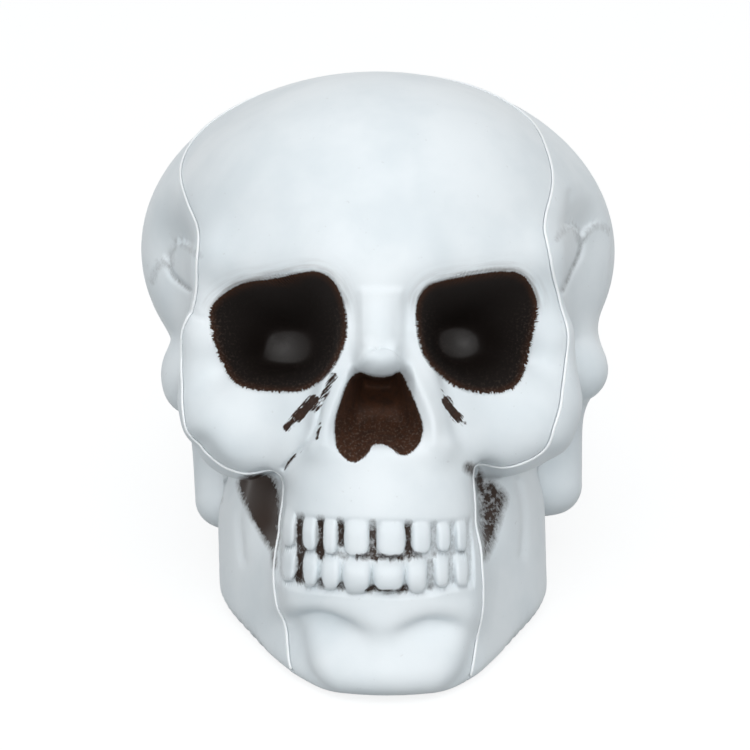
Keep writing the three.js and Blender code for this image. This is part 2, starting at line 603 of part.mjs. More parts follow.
// One tooth: a squarish pad, part of it sunk into the jaw.
function toothGeometry([right, left], top, bottom) {
  const { point, facing } = seenPoint((right + left) / 2, (top + bottom) / 2);
  const scale = (VIEW_DISTANCE + point.y) / VIEW_DISTANCE;
  const stretch = Math.min(1 / Math.cos(facing), TOOTH.mostStretch);
  const halfWidth = ((left - right) / 2) * scale * stretch;
  const halfHeight = ((top - bottom) / 2) * scale;
  const squared = (value) => Math.sign(value) * Math.abs(value) ** TOOTH.square;
  const geometry = new THREE.SphereGeometry(1, TOOTH.columnCount, TOOTH.rowCount);
  geometry.deleteAttribute('normal');
  geometry.deleteAttribute('uv');
  const pad = mergeVertices(geometry, TOOTH.sameCorner);
  const places = pad.getAttribute('position');
  for (let i = 0; i < places.count; i += 1) {
    const [across, inward, up] = [places.getX(i), places.getY(i), places.getZ(i)].map(squared);
    const depth = inward > 0 ? TOOTH.sink : TOOTH.proud;
    places.setXYZ(i, across * halfWidth, inward * depth, up * halfHeight);
  }
  return pad.rotateZ(facing).translate(point.x, point.y, point.z);
}

// Both rows of teeth, with their edges on the arched lines.
function teeth() {
  const arch = (line, u) => line.corner - line.drop * (1 - (u / TOOTH_ROW_HALF) ** 2);
  const row = (edges, upper, lower, upperGap, lowerGap) => edges.map((edge) => {
    const u = (edge[0] + edge[1]) / 2;
    return toothGeometry(edge, arch(upper, u) - upperGap, arch(lower, u) + lowerGap);
  });
  const biteGap = BITE_LINE.gap / 2;
  return [
    ...row(UPPER_TEETH, GUM_LINE, BITE_LINE, 0, biteGap),
    ...row(LOWER_TEETH, BITE_LINE, CHIN_LINE, biteGap, 0),
  ];
}

const wasm = await Module();
wasm.setup();

function toManifold(geometry) {
  const vertProperties = new Float32Array(geometry.getAttribute('position').array);
  const triVerts = new Uint32Array(geometry.getIndex().array);
  return new wasm.Manifold(new wasm.Mesh({ numProp: 3, vertProperties, triVerts }));
}

function fromManifold(solid) {
  const { vertProperties, triVerts } = solid.getMesh();
  const geometry = new THREE.BufferGeometry();
  geometry.setAttribute('position', new THREE.BufferAttribute(vertProperties, 3));
  geometry.setIndex(new THREE.BufferAttribute(triVerts, 1));
  return geometry;
}

// Front moulding with its teeth.
function faceShell() {
  const solid = teeth().reduce((sum, tooth) => sum.add(toManifold(tooth)), toManifold(faceBowl()));
  return fromManifold(solid);
}

function piece(name, geometry, color) {
  const material = new THREE.MeshStandardMaterial({ color, roughness: SHELL_ROUGHNESS, metalness: 0 });
  const mesh = new THREE.Mesh(geometry, material);
  mesh.name = name;
  return mesh;
}

const head = new THREE.Group();
head.add(
  piece('face_shell', faceShell(), SHELL_COLOUR),
  piece('left_cranium_shell', craniumShell(1, true), SHELL_COLOUR),
  piece('right_cranium_shell', craniumShell(-1, false), SHELL_COLOUR),
  piece('face_seam_bead', faceBead(), BEAD_COLOUR),
  piece('crown_seam_bead', crownBead(), BEAD_COLOUR),
);

// The head tilted back, standing on z = 0 with the middle of its box over the origin.
const group = new THREE.Group();
group.add(head);
head.rotation.x = -REST_TILT;
group.updateMatrixWorld(true);
const box = new THREE.Box3().setFromObject(head, true);
head.position.set(-(box.min.x + box.max.x) / 2, -(box.min.y + box.max.y) / 2, -box.min.z);

export default group;
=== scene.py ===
import math

import bpy
import numpy as np
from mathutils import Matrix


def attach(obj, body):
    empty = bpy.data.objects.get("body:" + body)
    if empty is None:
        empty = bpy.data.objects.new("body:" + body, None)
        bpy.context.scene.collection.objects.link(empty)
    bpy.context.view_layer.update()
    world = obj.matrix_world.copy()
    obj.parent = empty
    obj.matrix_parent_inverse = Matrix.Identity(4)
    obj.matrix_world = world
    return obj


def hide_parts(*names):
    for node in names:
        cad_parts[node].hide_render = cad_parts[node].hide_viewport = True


# A life-size hollow plastic skull: three thin mouldings, the cement beads along their seams, and dark
# brushed paint. Shapes are worked out in the head frame, in millimetres: x to the skull's own left, y to the
# back and z up, with the face level. They are then tilted back, as the skull stands, and put into the row
# frame in metres.

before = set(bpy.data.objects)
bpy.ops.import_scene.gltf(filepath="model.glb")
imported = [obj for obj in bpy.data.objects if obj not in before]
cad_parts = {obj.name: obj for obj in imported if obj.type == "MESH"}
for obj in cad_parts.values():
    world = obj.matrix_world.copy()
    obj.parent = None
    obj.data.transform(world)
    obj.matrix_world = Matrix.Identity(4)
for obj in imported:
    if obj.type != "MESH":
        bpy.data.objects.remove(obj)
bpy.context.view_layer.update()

MM = 0.001

# Least slope, which keeps a division away from nought
TINY = 1e-6

# Walls and seams
WALL = 2.2
SEAM_GAP = 0.3
SEAM_CHAMFER = 0.65
BEAD_HALF_WIDTH = 0.52
BEAD_PROUD = 0.5
BEAD_FOOT = 0.35
BEAD_UNEVEN = 0.16
BEAD_FLOOR_GAP = 3
BEAD_POINTS = 7
# Waves of the uneven cement: how many along a seam, and where each starts
BEAD_WAVES = ((9, 0), (23, 1), (41, 2))

# How the skull stands
REST_TILT = math.radians(19.5)
CHIN_REST = (-72, -93)
FLOOR_SLOPE = math.tan(REST_TILT)
FLOOR_EDGE = 5

# Middle of the hollow, from which each direction meets the surface once
HOLLOW_MIDDLE = np.array([0.0, 12.0, 6.0])
SEARCH_RADIUS = 150
SEARCH_STEPS = 80
SEARCH_SHARE = 0.85
SEARCH_ERROR = 0.002

# The sculpt leans a little to one side, more below than above. The braincase, and more so the bones at its
# sides, are off to the left. The side bones and the cheekbones are lower on the right.
LEAN = 0.0175
LEAN_BEND = 0.00008
BRAINCASE_SHIFT = 0.4
SIDE_BONE_SHIFT = 2.5
SIDE_BONE_DROP = 0.04

# Bones. An egg is a middle and half sizes, a bar two ends and two radii, and a last number rounds the join.
BRAINCASE = ((0, 8, 40), (76.2, 84, 57.5))
FOREHEAD = ((0, -36, 40), (58, 50, 50), 14)
OCCIPUT = ((0, 46, 10), (58, 44, 50), 18)
SKULL_BASE = ((0, 14, -22), (52, 46, 56), 14)
TEMPLE_HOLLOW = ((84, -48, 32), (26, 38, 34), 8)
TEMPLE_ROOT = ((60.5, -14, -1), (61.5, 22, 1), (9.5, 9.5), 12)
MASTOID = ((52, 17, -6), (53.2, 11, -38), (12, 9.5), 10)
MIDFACE = ((0, -50, -12), (46, 34, 34), 8)
GLABELLA = ((0, -77, 31), (18, 11, 11), 8)
CHEEKBONE = ((41.5, -56, -14.5), (18.5, 17, 18), 8)
BROW = ((13, -78, 34), (44, -65, 35), (9, 7), 8)
NOSE_BRIDGE = ((0, -80, 24), (0, -87.5, 4), (8, 6.5), 5)
ORBIT_RIM = ((47, -60, 36), (50, -58, 12), (7, 6.5), 6)
CHEEK_STEM = ((51.5, -56, 12), (52, -53, -6), (7.5, 9), 6)
CHEEK_ARCH = ((49, -46, -7), (60, -10, 2), (6, 7), 6)
NOSE_SIDE = ((10, -82, 12), (16, -82, -20), (5, 5), 5)
UPPER_JAW = {"y": -60, "half": (31, 31), "bottom": -62, "top": -20, "edge": 6}
LOWER_JAW = {"y": -59, "half": (32, 29), "bottom": -94, "top": -56, "edge": 8}
CHIN_TAPER = {"half_width": 31, "start": -70, "rate": 0.45, "edge": 7}
CHIN = ((0, -76, -80), (18, 11, 11), 8)
BITE_BLEND = 3
JAW_BLEND = 6
JAW_SIDE = {"front": (29, -66), "rear": (53, -18), "half_width": 53, "back": (53, -6), "top": 2}
JAW_SIDE_NOSE = {"y": -76, "z": -93, "slope": 0.35}
JAW_SIDE_EDGE = 8
JAW_SIDE_LIFT = -1
JAW_SIDE_BLEND = 4

# Relief, drawn as it is seen from a point this far in front, in millimetres on the plane y = 0. The sockets
# are bowls under a plate, which takes the bones' place in them.
VIEW_DISTANCE = 1000
RELIEF_REACH = 1.3
SOCKET_DEPTH, SOCKET_LIP = 14, 0.4
SOCKET_LEVEL, SOCKET_CALM = -59, 1.5
RIGHT_SOCKET = (
    (-53, 22.4), (-44.4, 28.8), (-32.9, 30.8), (-20.4, 33), (-13.6, 28.5), (-10.4, 17),
    (-12.7, 6.1), (-19.1, -2.2), (-28.4, -5.4), (-44.4, -3.2), (-50.2, 4.8), (-53.4, 14.4),
)
LEFT_SOCKET = (
    (12.3, 20.2), (15.5, 27.9), (24.5, 30.8), (38.9, 33), (46.6, 31.4), (50.8, 22.4),
    (48.9, 11.2), (45, -2.2), (35.7, -5.8), (24.5, -3.2), (14.9, 6.1),
)
SOCKETS = ((RIGHT_SOCKET, (-39.5, 9.5)), (LEFT_SOCKET, (35.5, 12)))
NOSE_DEPTH, NOSE_WALL, NOSE_LIP = 12, 7, 0.4
NOSE_OUTLINE = (
    (-6.2, 0.6), (-9.4, -2), (-11.6, -7.4), (-13.7, -15), (-13.4, -22.4), (-11.3, -26), (-8, -27.8),
    (-4.6, -26.2), (-2, -22.6), (0.8, -22), (4, -23.2), (6.8, -25.4), (10, -25), (13, -21.6), (14, -16.6),
    (12, -10), (9.2, -3.6), (6.9, 0.6), (3.8, -0.5), (0.5, -0.9), (-2.8, -0.4),
)
HOLLOWS = (RIGHT_SOCKET, LEFT_SOCKET, NOSE_OUTLINE)
NASAL_BONES = {
    "u": 0.8, "half_width": 8.6, "top": 29, "bottom": 8, "side": 3, "crest": 3.2, "fade": 7, "proud": 1,
}
NOSE_TIP = {"at": (0.8, 3.8), "half": (6.2, 4.8), "proud": 1.7}
NOSE_ROLL = {
    "u": 0.8, "top": 7.5, "foot": -2, "half_width": 11, "side": 4, "depth": 6.5, "end": -14, "fade": 8,
}
NOSE_RIDGE_PROUD, NOSE_RIDGE_WIDTH = 1.9, 2.6
NOSE_RIDGE_FOOT, NOSE_RIDGE_FADE = -27, 12
NOSE_RIDGES = (
    ((-3.9, 8.4), (-8.6, 1.6), (-12.6, -6), (-16, -14.4), (-17.2, -22.4)),
    ((5.8, 8.4), (10, 1.6), (13.9, -6), (17.2, -14.4), (17.6, -22.4)),
)
CHEEK_CREASE = ((-15.2, -0.6), (-18.4, -9.6), (-20.3, -17), (-23.6, -22.4), (-30.9, -30.4))
CHEEK_CREASE_DEPTH, CHEEK_CREASE_WIDTH = 1.4, 0.9
POCKET_DEPTH, POCKET_WIDTH = 7, 4.3
POCKETS = (((-37.3, -36.2), (-36.1, -51.3)), ((35.1, -33), (34.5, -49.7)))
CHIN_HOLLOWS = (((-18, -84.4), (16, 7), -0.36, 9.5), ((16.5, -85.4), (12, 6.6), 0.3, 7.5))
JAW_BULGE = {"top": -27, "rise": 18, "foot": -86, "fall": 16, "half_width": 37, "side": 9, "proud": 2.2}

# Lobes at the temples, above the cheek arches. The surface drops outside their upper edges, which are the
# first points of each outline, and the drop fades out towards the seam and the side of the head.
LOBE_EDGES = (
    ((57.3, 43.9), (59.2, 46.2), (61.8, 47.6), (63.8, 45.4), (64.9, 42.7), (67.2, 46), (70.4, 47.9),
     (74.3, 45.8), (84, 38), (84, -130), (50, -130), (50, 38)),
    ((-57.6, 38.2), (-60.8, 40.8), (-63.6, 42.2), (-65.8, 40.6), (-67, 35.4), (-68.6, 36.2), (-70.3, 35.6),
     (-72.5, 30.2), (-84, 20), (-84, -130), (-50, -130), (-50, 34)),
)
LOBE_DROP, LOBE_STEP, LOBE_REACH = 2.2, 1.6, 11
LOBE_START, LOBE_END, LOBE_FADE = 57, 72.5, 6
LOBE_EDGE_POINTS = 8
LOBE_CREASES = (
    ((64.9, 42.7), (64, 38.4), (61.8, 33.6), (59, 27)),
    ((-67, 35.4), (-65.6, 31.6), (-60.6, 27.4)),
)
LOBE_CREASE_DEPTH, LOBE_CREASE_WIDTH = 1.4, 1

# Creases, each a line, a depth and a width: at the lobes, down the sides of the jaw, along the lower edges of
# the cheeks and beside a socket. Swells, each a middle, half sizes, a turn and a height.
SIDE_CREASES = (
    *((line, LOBE_CREASE_DEPTH, LOBE_CREASE_WIDTH) for line in LOBE_CREASES),
    (((61.6, 58), (61.8, 53), (61.8, 48.6)), 0.9, 1.3),
    (((46.8, -36.5), (47, -48), (46.4, -58)), 1.3, 1.4),
    (((-46, -38), (-45.2, -48), (-43.6, -60)), 1.3, 1.4),
    (((-60, -25), (-53, -33), (-42, -38), (-33, -39)), 5, 6),
    (((36, -35.4), (46, -34.4), (56, -30)), 3, 5.5),
    (((-60.4, 20.5), (-58, 18.6), (-55.3, 17.9)), 0.5, 0.9),
)
SIDE_SWELLS = (
    ((60.6, 38.6), (4, 8), -0.4, 1.2), ((69.6, 36), (5.5, 11), -0.3, 1.4), ((-62, 35), (4.4, 6), 0.5, 1.2),
    ((-68.4, 27.4), (3.8, 8), 0.2, 1.2), ((-31.5, -81), (10, 13), 0.1, 3.2),
    ((31.5, -81), (10, 13), -0.1, 2.6),
)

# Teeth: right edge, left edge, top and bottom of each, from right to left, and the line that bounds both rows
UPPER_TEETH = (
    (-30.9, -26.1, -42.2, -54.6), (-24.4, -19.2, -45, -55.8), (-17.8, -12.8, -45.4, -57),
    (-11.2, -2.8, -45.4, -57.6), (-0.7, 8.8, -46.2, -57.8), (10.3, 16.8, -46, -56.8),
    (18.3, 23, -46.8, -56), (24.2, 28.2, -45.8, -56),
)
LOWER_TEETH = (
    (-30.9, -25.8, -55, -65), (-24.3, -18.8, -56.4, -67.1), (-18.4, -12, -57.6, -68.2),
    (-11.5, -2.4, -58.4, -69.4), (-1.9, 8.3, -58.8, -69), (8.7, 15.6, -58.4, -69.2),
    (17.5, 22.5, -57.2, -67.3), (23.8, 28.6, -56.8, -66.7),
)
MOUTH_LINE = ((-31.6, -42.4), (-25.6, -44), (-12, -45.4), (2, -46), (18, -46), (32, -45))
CHIN_LINE = ((-31.6, -64.8), (-24, -67.2), (-12, -68.8), (2, -69.6), (16, -69), (24, -66.8), (32, -65.6))
MOUTH_RIGHT, MOUTH_LEFT = -32, 30
TOOTH_BAND_DEPTH = 2.2
TOOTH_BAND_TOP, TOOTH_BAND_FOOT = 5.5, 1.3
TOOTH_BAND_START = 0.3
TOOTH_PROUD = 3.6
TOOTH_SQUARENESS = 3.4
TOOTH_EDGE = 0.52
TOOTH_TAPER = 0.08

# The face seam: angle round the nose bridge, from straight down to straight up, and angle away from it, in
# degrees
SEAM_TOP, SEAM_UNDER = 92, 54.5
LEFT_SEAM = (
    (-90, SEAM_UNDER), (-84, 54), (-78, 52.3), (-72.8, 49), (-67.5, 44), (-63.7, 39.5), (-57, 33.8),
    (-52, 31.2), (-47, 31.8), (-42, 33.4), (-31, 35.8), (-22, 34.8), (-12.8, 35.6), (-4.5, 37.2), (7, 37.6),
    (18, 37.2), (28, 36), (36, 37.8), (40, 41.4), (45, 49.2), (51.4, 57.6), (58, 69.5), (74, 83),
    (90, SEAM_TOP),
)
RIGHT_SEAM = (
    (-90, SEAM_UNDER), (-84, 54), (-77, 52), (-70.7, 48.6), (-61.9, 42.6), (-55, 36), (-50.6, 32),
    (-46, 33.4), (-39.8, 36.2), (-33, 38.4), (-26, 40), (-18, 40), (-3.2, 40.5), (5.4, 40), (14.7, 38),
    (24, 37.8), (31.5, 39.4), (35.2, 43.2), (39.5, 53), (44.6, 67), (52, 77), (62, 84), (75, 89),
    (90, SEAM_TOP),
)

# Fineness of the grids
SEAM_STEPS, SEAM_TRIAL_STEPS = 450, 2000
MOUTH_DENSITY, MOUTH_SPREAD = 1.6, math.radians(34)
MIDLINE_STEPS = 110
FACE_ROWS = 180
CRANIUM_ROWS = 150
INNER_STEP = 10
OUTLINE_STEPS = 8
SLOPE_STEP = 0.6
LEAST_STRETCH = 0.4


# Bones as signed distances

def join(a, b, width):
    """Smooth union of two signed distances: the lesser, less a parabola where they are within a width."""
    near = np.maximum(width - np.abs(a - b), 0) / width
    return np.minimum(a, b) - near * near * width / 4


def overlap(a, b, width):
    """Smooth overlap: the union turned inside out."""
    return -join(-a, -b, width)


def egg_distance(x, y, z, middle, half):
    """Distance to an egg, nearly exact close to it: k (k - 1) over the slope of k, the scaled radius."""
    u, v, w = ((p - m) / h for p, m, h in zip((x, y, z), middle, half))
    reach = np.sqrt(u * u + v * v + w * w)
    slope = np.sqrt((u / half[0]) ** 2 + (v / half[1]) ** 2 + (w / half[2]) ** 2)
    return reach * (reach - 1) / np.maximum(slope, TINY)


def bar_distance(x, y, z, start, end, radii):
    """Distance to a bar with round ends, whose radius changes evenly along it."""
    along = np.subtract(end, start)
    offset = [p - s for p, s in zip((x, y, z), start)]
    share = np.clip(sum(o * a for o, a in zip(offset, along)) / (along @ along), 0, 1)
    square = sum((o - a * share) ** 2 for o, a in zip(offset, along))
    return np.sqrt(square) - radii[0] - (radii[1] - radii[0]) * share


def jaw_block_distance(x, y, z, block):
    """Distance to an upright block of oval plan, between two heights and with rounded edges."""
    half = block["half"]
    u, v = x / half[0], (y - block["y"]) / half[1]
    reach = np.hypot(u, v)
    side = reach * (reach - 1) / np.maximum(np.hypot(u / half[0], v / half[1]), TINY)
    return overlap(side, np.maximum(block["bottom"] - z, z - block["top"]), block["edge"])


def floor_height(y):
    """Height of the plane that the skull stands on, in the head frame."""
    return CHIN_REST[1] + FLOOR_SLOPE * (y - CHIN_REST[0])


def jaw_side_distance(x, y, z):
    """Distance to the lower jaw's flat sides: the overlap of a slanting plane and the planes that end it."""
    front, rear, back = (np.array(JAW_SIDE[key], float) for key in ("front", "rear", "back"))
    along = (rear - front) / np.linalg.norm(rear - front)
    distance = along[1] * (x - front[0]) - along[0] * (y - front[1])
    back_ramp = (x - back[0] + y - back[1]) * math.sqrt(0.5)
    under = floor_height(y) + JAW_SIDE_LIFT - z
    nose = JAW_SIDE_NOSE["y"] - y + JAW_SIDE_NOSE["slope"] * (z - JAW_SIDE_NOSE["z"])
    nose = nose / math.hypot(1, JAW_SIDE_NOSE["slope"])
    for limit in (x - JAW_SIDE["half_width"], back_ramp, nose, z - JAW_SIDE["top"], under):
        distance = overlap(distance, limit, JAW_SIDE_EDGE)
    return distance


def skull_distance(x, y, z):
    """Distance to the skull without relief: smooth unions of bones, mirrored about the leaning midline."""
    upright = x + LEAN * z - LEAN_BEND * z * z
    rear = np.abs(upright - BRAINCASE_SHIFT)
    skull = egg_distance(rear, y, z, *BRAINCASE)
    for middle, half, blend in (FOREHEAD, OCCIPUT, SKULL_BASE):
        skull = join(skull, egg_distance(rear, y, z, middle, half), blend)
    skull = overlap(skull, -egg_distance(rear, y, z, *TEMPLE_HOLLOW[:2]), TEMPLE_HOLLOW[2])
    side, level = np.abs(upright - SIDE_BONE_SHIFT), z - SIDE_BONE_DROP * x
    for start, end, radii, blend in (TEMPLE_ROOT, MASTOID):
        skull = join(skull, bar_distance(side, y, level, start, end, radii), blend)
    x = np.abs(upright)
    face = egg_distance(x, y, z, *MIDFACE[:2])
    face = join(face, egg_distance(x, y, z, *GLABELLA[:2]), GLABELLA[2])
    face = join(face, egg_distance(x, y, level, *CHEEKBONE[:2]), CHEEKBONE[2])
    for start, end, radii, blend in (BROW, NOSE_BRIDGE, ORBIT_RIM, CHEEK_STEM, CHEEK_ARCH, NOSE_SIDE):
        face = join(face, bar_distance(x, y, z, start, end, radii), blend)
    skull = join(skull, face, MIDFACE[2])
    taper = x - CHIN_TAPER["half_width"] + CHIN_TAPER["rate"] * (CHIN_TAPER["start"] - z)
    taper = taper / math.hypot(1, CHIN_TAPER["rate"])
    lower_jaw = overlap(jaw_block_distance(x, y, z, LOWER_JAW), taper, CHIN_TAPER["edge"])
    lower_jaw = join(lower_jaw, egg_distance(x, y, z, *CHIN[:2]), CHIN[2])
    jaws = join(jaw_block_distance(x, y, z, UPPER_JAW), lower_jaw, BITE_BLEND)
    skull = join(skull, jaws, JAW_BLEND)
    return join(skull, jaw_side_distance(x, y, z), JAW_SIDE_BLEND)


# Drawing in the front plane

def curve_points(points, closed):
    """A smooth curve through points: cubic pieces, sloping at each as half the way between its neighbours."""
    p = np.array(points, float)
    count = len(p)
    first = np.arange(count if closed else count - 1)
    pick = (lambda i: p[i % count]) if closed else (lambda i: p[np.clip(i, 0, count - 1)])
    a, b, c, d = (pick(first + shift)[:, None] for shift in (-1, 0, 1, 2))
    t = np.linspace(0, 1, OUTLINE_STEPS, endpoint=False)[None, :, None]
    square, cube = 2 * a - 5 * b + 4 * c - d, 3 * b - a - 3 * c + d
    curve = (2 * b + (c - a) * t + square * t ** 2 + cube * t ** 3) / 2
    last = p[:1] if closed else p[-1:]
    return np.concatenate([curve.reshape(-1, 2), last])


def line_distance(u, v, line):
    """Least distance from each place to a chain of straight pieces."""
    least = np.full(u.shape, np.inf)
    for (u0, v0), (u1, v1) in zip(line[:-1], line[1:]):
        du, dv = u1 - u0, v1 - v0
        share = np.clip(((u - u0) * du + (v - v0) * dv) / (du * du + dv * dv), 0, 1)
        least = np.minimum(least, (u - u0 - du * share) ** 2 + (v - v0 - dv * share) ** 2)
    return np.sqrt(least)


def outline_distance(u, v, points):
    """Distance to a smooth closed outline, negative inside it, by counting crossings of a level line."""
    line = curve_points(points, True)
    inside = np.zeros(u.shape, bool)
    for (u0, v0), (u1, v1) in zip(line[:-1], line[1:]):
        if v0 != v1:
            inside ^= ((v0 > v) != (v1 > v)) & (u < (u1 - u0) * (v - v0) / (v1 - v0) + u0)
    return line_distance(u, v, line) * np.where(inside, -1, 1)


def ease(share):
    """Zero to one with level ends."""
    share = np.clip(share, 0, 1)
    return share * share * (3 - 2 * share)


def edge_share(distance, width):
    """Zero to one across an edge: half at the edge itself, and all its change within the width."""
    return ease(distance / width + 0.5)


def soft_line(distance, width):
    """A bell over the distance from a line."""
    return np.exp(-(distance / width) ** 2)


def soft_spot(u, v, middle, half, turn):
    """A bell over an oval that is turned by an angle."""
    across = (u - middle[0]) * math.cos(turn) + (v - middle[1]) * math.sin(turn)
    up = (v - middle[1]) * math.cos(turn) - (u - middle[0]) * math.sin(turn)
    return np.exp(-(across / half[0]) ** 2 - (up / half[1]) ** 2)


def cup_depth(distance, depth, wall, lip):
    """Depth of a cup whose wall rounds into its floor, at a distance from its outline."""
    share = np.clip((lip - distance) / wall, 0, 1)
    return depth * (1 - (1 - share) ** 2)


def bowl_share(u, v, outline, middle):
    """Share of the way from a bowl's middle to its outline, by level lines that are round in the middle."""
    line = curve_points(outline, True)[:-1] - middle
    across, up = u - middle[0], v - middle[1]
    angles, lengths = np.arctan2(line[:, 1], line[:, 0]), np.hypot(*line.T)
    reach = np.interp(np.arctan2(up, across), angles, lengths, period=2 * math.pi)
    far = np.hypot(across, up)
    mean_reach = lengths.mean()
    return np.minimum(far / (mean_reach + (reach - mean_reach) * ease(far / reach) + SOCKET_LIP), 1)


def tooth_pads(u, v):
    """Share of a tooth's full height: a power of one less the powers of the shares of its half sizes.

    A tooth narrows evenly from its middle to the gum.
    """
    share = np.zeros(u.shape)
    for row, gum in ((UPPER_TEETH, 1), (LOWER_TEETH, -1)):
        for right, left, top, bottom in row:
            up = (2 * v - top - bottom) / (top - bottom)
            half = (left - right) / 2 * (1 - TOOTH_TAPER * np.clip(gum * up, 0, 1))
            across = np.abs(u - (right + left) / 2) / half
            share = np.maximum(share, 1 - across ** TOOTH_SQUARENESS - np.abs(up) ** TOOTH_SQUARENESS)
    return share ** TOOTH_EDGE


def tooth_band(u, v):
    """Share of the sunk band that the teeth stand in: it starts softly under the gum and ends at the chin."""
    top, bottom = knot_curve(MOUTH_LINE, u), knot_curve(CHIN_LINE, u)
    side = edge_share(MOUTH_LEFT - u, TOOTH_BAND_FOOT) * edge_share(u - MOUTH_RIGHT, TOOTH_BAND_FOOT)
    upper = ease((top - v) / TOOTH_BAND_TOP + TOOTH_BAND_START)
    return side * upper * edge_share(v - bottom, TOOTH_BAND_FOOT)


def teeth_height(u, v):
    """Teeth as pillows that stand in the sunk band."""
    return (TOOTH_PROUD * tooth_pads(u, v) - TOOTH_BAND_DEPTH) * tooth_band(u, v)


def relief_height(u, v):
    """Height of the sockets, nose, ridges, creases, lobes and teeth over the plain bones."""
    height = teeth_height(u, v)
    for outline, middle in SOCKETS:
        height -= SOCKET_DEPTH * np.sqrt(1 - bowl_share(u, v, outline, middle) ** 2)
    height -= cup_depth(outline_distance(u, v, NOSE_OUTLINE), NOSE_DEPTH, NOSE_WALL, NOSE_LIP)
    bones = NASAL_BONES
    block = ease((bones["half_width"] - np.abs(u - bones["u"])) / bones["side"])
    block = block * ease((bones["top"] - v) / bones["crest"])
    height += bones["proud"] * block * ease((v - bones["bottom"]) / bones["fade"])
    roll = NOSE_ROLL
    fall = np.clip((roll["top"] - v) / (roll["top"] - roll["foot"]), 0, 1) ** 2
    fall = fall * ease((v - roll["end"]) / roll["fade"])
    height -= roll["depth"] * fall * ease((roll["half_width"] - np.abs(u - roll["u"])) / roll["side"])
    tip = sum(((place - at) / half) ** 2 for place, at, half in zip((u, v), NOSE_TIP["at"], NOSE_TIP["half"]))
    height += NOSE_TIP["proud"] * np.sqrt(np.maximum(1 - tip, 0))
    for ridge in NOSE_RIDGES:
        distance = line_distance(u, v, curve_points(ridge, False))
        fade = ease((v - NOSE_RIDGE_FOOT) / NOSE_RIDGE_FADE)
        height += NOSE_RIDGE_PROUD * fade * soft_line(distance, NOSE_RIDGE_WIDTH)
    crease = line_distance(u, v, curve_points(CHEEK_CREASE, False))
    height -= CHEEK_CREASE_DEPTH * soft_line(crease, CHEEK_CREASE_WIDTH)
    for pocket in POCKETS:
        height -= POCKET_DEPTH * soft_line(line_distance(u, v, pocket), POCKET_WIDTH)
    bulge = JAW_BULGE
    swell = ease((bulge["top"] - v) / bulge["rise"]) * ease((v - bulge["foot"]) / bulge["fall"])
    height += bulge["proud"] * swell * ease((bulge["half_width"] - np.abs(u)) / bulge["side"])
    for middle, half, turn, depth in CHIN_HOLLOWS:
        height -= depth * soft_spot(u, v, middle, half, turn)
    for outline in LOBE_EDGES:
        past = outline_distance(u, v, outline)
        side = ease((np.abs(u) - LOBE_START) / LOBE_FADE) * ease((LOBE_END - np.abs(u)) / LOBE_FADE)
        height -= LOBE_DROP * side * ease(past / LOBE_STEP) * ease(1 - past / LOBE_REACH)
    for line, depth, width in SIDE_CREASES:
        height -= depth * soft_line(line_distance(u, v, curve_points(line, False)), width)
    for middle, half, turn, swell in SIDE_SWELLS:
        height += swell * soft_spot(u, v, middle, half, turn)
    return height


# The outer surface, one distance for each direction from the middle of the hollow

def bare_radius(direction):
    """Distance to the plain bones, by steps inwards of most of the signed distance until it is about zero."""
    radius = np.full(len(direction), float(SEARCH_RADIUS))
    active = np.arange(len(direction))
    for _ in range(SEARCH_STEPS):
        point = HOLLOW_MIDDLE + radius[active, None] * direction[active]
        distance = skull_distance(*point.T)
        radius[active] -= SEARCH_SHARE * distance
        active = active[np.abs(distance) > SEARCH_ERROR]
        if not active.size:
            break
    return radius


def front_place(point):
    """Where points are seen on the front plane."""
    scale = VIEW_DISTANCE / (VIEW_DISTANCE + point[..., 1])
    return point[..., 0] * scale, point[..., 2] * scale


def calm_sockets(direction, radius, u, v):
    """Distance to the plain bones, which give way to a flat plate towards the middle of each socket."""
    plate = (SOCKET_LEVEL - HOLLOW_MIDDLE[1]) / direction[:, 1]
    for outline, middle in SOCKETS:
        inside = ease(SOCKET_CALM * (1 - bowl_share(u, v, outline, middle)))
        radius = radius + (plate - radius) * inside
    return radius


def outer_radius(direction):
    """Distance to the outer surface, with relief and level floor, and its place seen on the front plane."""
    flat = direction.reshape(-1, 3)
    radius = bare_radius(flat)
    u, v = front_place(HOLLOW_MIDDLE + radius[:, None] * flat)
    front = -flat[:, 1] > math.cos(RELIEF_REACH)
    radius[front] = calm_sockets(flat[front], radius[front], u[front], v[front])
    u, v = front_place(HOLLOW_MIDDLE + radius[:, None] * flat)
    radius[front] += relief_height(u[front], v[front])
    u, v = front_place(HOLLOW_MIDDLE + radius[:, None] * flat)
    rate = np.minimum(flat[:, 2] - FLOOR_SLOPE * flat[:, 1], -TINY)
    floor = (floor_height(HOLLOW_MIDDLE[1]) - HOLLOW_MIDDLE[2]) / rate
    radius = np.where(floor < SEARCH_RADIUS, join(radius, floor, FLOOR_EDGE), radius)
    place = np.where(front[:, None], np.stack([u, v], 1), np.inf)
    return radius.reshape(direction.shape[:-1]), place.reshape(*direction.shape[:-1], 2)


def unit(vectors):
    """Vectors of length one."""
    return vectors / np.linalg.norm(vectors, axis=-1, keepdims=True)


def surface_point(direction):
    """Points of the outer surface."""
    return HOLLOW_MIDDLE + outer_radius(direction)[0][..., None] * direction


def surface_normal(direction):
    """The way that the surface faces: the cross product of two short steps along it."""
    side = unit(np.cross([0.0, 0.0, 1.0], direction))
    across = np.cross(direction, side)
    step = SLOPE_STEP / outer_radius(direction)[0][..., None]
    steps = [surface_point(unit(direction + axis * step)) - surface_point(unit(direction - axis * step))
             for axis in (side, across)]
    return unit(np.cross(*steps))


# Seams

def head_direction(away, turn):
    """Directions by their angle away from the nose bridge and their angle round it."""
    return np.stack([np.sin(away) * np.cos(turn), -np.cos(away), np.sin(away) * np.sin(turn)], -1)


